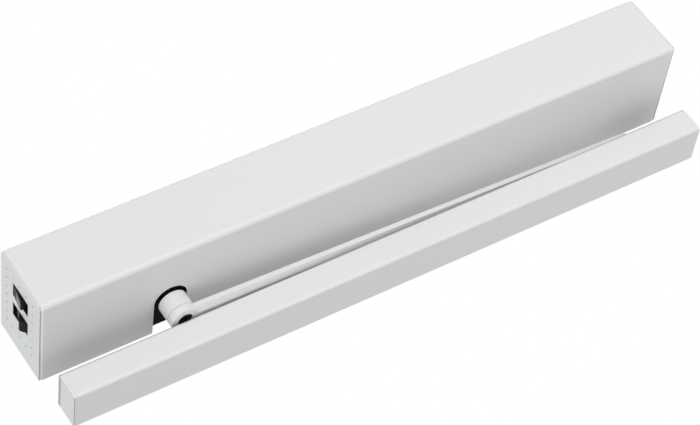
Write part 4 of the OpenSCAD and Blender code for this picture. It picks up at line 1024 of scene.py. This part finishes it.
class DOOROP_OT_channel(Operator):
    """Clip-on cover of the door channel and its two end caps."""

    bl_idname = "doorop.channel"
    bl_label = "Door channel"

    def execute(self, context):
        sizes = context.scene.operator_channel
        low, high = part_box("channel_cover")
        skin = rounded_block("channel_skin", low, high, sizes.edge_radius)
        inner = add_box("inner", (low.x - 1 * MM, low.y + sizes.skin, low.z + sizes.skin),
                        (high.x + 1 * MM, 2 * MM, high.z + 2 * MM))
        cut(skin, inner)
        hook_front, hook_back, hook_height = -4.6 * MM, -3.2 * MM, 4 * MM
        weld(skin, add_box("hook", (low.x, hook_front, low.z + sizes.skin - 0.1 * MM),
                           (high.x, hook_back, low.z + hook_height)))
        clean(skin)
        soften(skin, 0.25 * MM)
        stands_for(skin, "channel", "channel_cover")
        rail_low, rail_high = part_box("channel_rail")
        play, plate, tongue = 0.15 * MM, 2.5 * MM, (2 * MM, 6.5 * MM)
        for node, name, side in (("channel_left_cap", "channel_cap_left", -1),
                                 ("channel_right_cap", "channel_cap_right", 1)):
            cap_low, cap_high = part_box(node)
            outer = cap_low.x if side < 0 else cap_high.x
            x0, x1 = sorted((outer, outer - side * plate))
            cap = rounded_block(name, (x0, cap_low.y, cap_low.z), (x1, cap_high.y, cap_high.z),
                                sizes.edge_radius - 0.3 * MM)
            cut(cap, add_box(
                "flange_room",
                (x0 - 1 * MM, rail_low.y - play, rail_high.z - sizes.flange - play),
                (x1 + 1 * MM, 2 * MM, rail_high.z + 1 * MM)))
            x0, x1 = sorted(outer - side * depth for depth in tongue)
            weld(cap, add_box("tongue", (x0, low.y + 2.4 * MM, low.z + 1.6 * MM),
                              (x1, -5.2 * MM, low.z + 8 * MM)))
            clean(cap)
            soften(cap, 0.2 * MM)
            stands_for(cap, "channel", node)
        return {"FINISHED"}


class DOOROP_OT_spring(Operator):
    """Closing spring: a cleaned, smooth-shaded copy of the frame's coil, held by the housing."""

    bl_idname = "doorop.spring"
    bl_label = "Closing spring"

    def execute(self, context):
        coil = bpy.data.objects.new("spring_coil", frame["nodes"]["closing_spring"].data.copy())
        context.scene.collection.objects.link(coil)
        clean(coil)
        shade(coil)
        stands_for(coil, "housing", "closing_spring")
        low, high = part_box("closing_spring")
        slide = next(joint for joint in frame["joints"] if joint["name"] == "rack_slide")
        travel = slide["range_m"][1]
        fixed_end = slide["deforming_nodes"][0]["fixed_end_x_m"]
        length = fixed_end - low.x
        (length - travel) / length
        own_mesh(coil)
        return {"FINISHED"}


class DOOROP_OT_finishes(Operator):
    """Finishes of every frame node that stays in view."""

    bl_idname = "doorop.finishes"
    bl_label = "Finishes of the inner pieces"

    def execute(self, context):
        for name, item in frame["nodes"].items():
            finish = finish_of(SLOT_OF_NODE[name])
            if item.material_slots:
                for slot in item.material_slots:
                    slot.material = finish
            else:
                item.data.materials.append(finish)
        return {"FINISHED"}


CAMERA_PLACE = (-0.92207, -1.72514, -1.13541)
CAMERA_RIGHT = Vector((0.84148551, -0.10390259, -0.53019466))
CAMERA_DOWN = Vector((-0.35166954, 0.63965592, -0.68349751))
CAMERA_FORWARD = Vector((0.41015932, 0.76160656, 0.50172181))
LIGHT_AIM = Vector((0, -0.05, -0.03))
SIDE_LIGHT_WAY = (1.0, 0.35, 0.1)
LIGHT_PANELS = (  # name, place, watts, size
    ("front", Vector((0.3, -2.7, -0.5)), 23.8, 1.5),
    ("low", Vector((1.0, -1.2, -2.2)), 10.4, 2.0),
    ("rear", Vector((0.9, 2.0, 1.9)), 22.0, 1.5))
FLOOR_SIZE, FLOOR_HEIGHT = 40.0, -5.0


class DOOROP_OT_stage(Operator):
    """Camera at the photograph's angle, plain floor, white surround and soft lights."""

    bl_idname = "doorop.stage"
    bl_label = "Stage"

    def execute(self, context):
        settings = context.scene.operator_stage
        camera_data = bpy.data.cameras.new("camera")
        camera_data.lens = settings.focal_length
        camera_data.sensor_fit = "HORIZONTAL"
        camera_data.sensor_width = 36.0
        camera_data.clip_end = 100.0
        camera = bpy.data.objects.new("camera", camera_data)
        context.scene.collection.objects.link(camera)
        turn = Matrix((CAMERA_RIGHT, -CAMERA_DOWN, -CAMERA_FORWARD)).transposed().to_4x4()
        camera.matrix_world = Matrix.Translation(CAMERA_PLACE) @ turn
        context.scene.camera = camera
        context.scene.view_settings.view_transform = "Standard"

        world = bpy.data.worlds.new("surround")
        world.use_nodes = True
        context.scene.world = world
        surround = Nodes(world.node_tree)
        even = surround.tree.nodes["Background"]
        surround.feed(even.inputs["Color"], WHITE)
        surround.feed(even.inputs["Strength"], settings.ambient)
        surround.whiten("ShaderNodeBackground", even, "World Output")

        deselect_all()
        bpy.ops.mesh.primitive_plane_add(size=FLOOR_SIZE, location=(0, 0, FLOOR_HEIGHT))
        floor = place(bpy.context.object, "floor")
        paint = Paint("floor_paint")
        cloud = paint.noise(0.5, 2.0, 0.5)
        floor.data.materials.append(paint.finish(
            Base_Color=paint.tint(cloud, darker(WHITE, 0.82), darker(WHITE, 0.84)), Roughness=0.8))
        paint.whiten("ShaderNodeEmission", paint.shader, "Material Output")

        def add_lamp(name, kind, watts, direction, spot=(0, 0, 0)):
            """A lamp that shines in a direction from a spot and isn't seen itself."""
            lamp_data = bpy.data.lights.new(name, kind)
            lamp_data.energy = watts
            lamp = bpy.data.objects.new(name, lamp_data)
            context.scene.collection.objects.link(lamp)
            lamp.location = spot
            lamp.rotation_mode = "QUATERNION"
            lamp.rotation_quaternion = Vector(direction).to_track_quat("-Z", "Y")
            lamp.visible_camera = False
            return lamp_data

        side = add_lamp("side", "SUN", settings.side, SIDE_LIGHT_WAY)
        side.angle = math.radians(50)
        for name, spot, watts, size in LIGHT_PANELS:
            panel = add_lamp(name, "AREA", watts * settings.key, LIGHT_AIM - spot, spot)
            panel.size = size
        return {"FINISHED"}


class DOOROP_PT_sidebar(Panel):
    """Lists the settings and the pieces of the door operator."""

    bl_idname = "DOOROP_PT_sidebar"
    bl_label = "Door operator"
    bl_space_type = "VIEW_3D"
    bl_region_type = "UI"
    bl_category = "Door operator"

    def draw(self, context):
        for group in GROUPS:
            settings = getattr(context.scene, group)
            box = self.layout.box()
            for name in settings.__annotations__:
                box.prop(settings, name)
        for operator in PIECES:
            self.layout.operator(operator.bl_idname)


PIECES = (DOOROP_OT_cover, DOOROP_OT_end_caps, DOOROP_OT_rockers, DOOROP_OT_arm, DOOROP_OT_channel,
          DOOROP_OT_spring, DOOROP_OT_finishes, DOOROP_OT_stage)
GROUPS = {"operator_housing": HousingSizes, "operator_arm": ArmSizes,
          "operator_channel": ChannelSizes, "operator_finish": FinishColours,
          "operator_stage": StageSettings}


def register():
    """Registers the settings, the operators and the panel."""
    for kind in (*GROUPS.values(), *PIECES, DOOROP_PT_sidebar):
        bpy.utils.register_class(kind)
    for name, kind in GROUPS.items():
        setattr(bpy.types.Scene, name, PointerProperty(type=kind))


def unregister():
    """Takes the settings, the operators and the panel out again."""
    for name in GROUPS:
        delattr(bpy.types.Scene, name)
    for kind in reversed((*GROUPS.values(), *PIECES, DOOROP_PT_sidebar)):
        bpy.utils.unregister_class(kind)


def main():
    """Makes every piece in order."""
    register()
    for operator in PIECES:
        getattr(bpy.ops.doorop, operator.bl_idname.split(".")[1])()


if __name__ == "__main__":
    main()
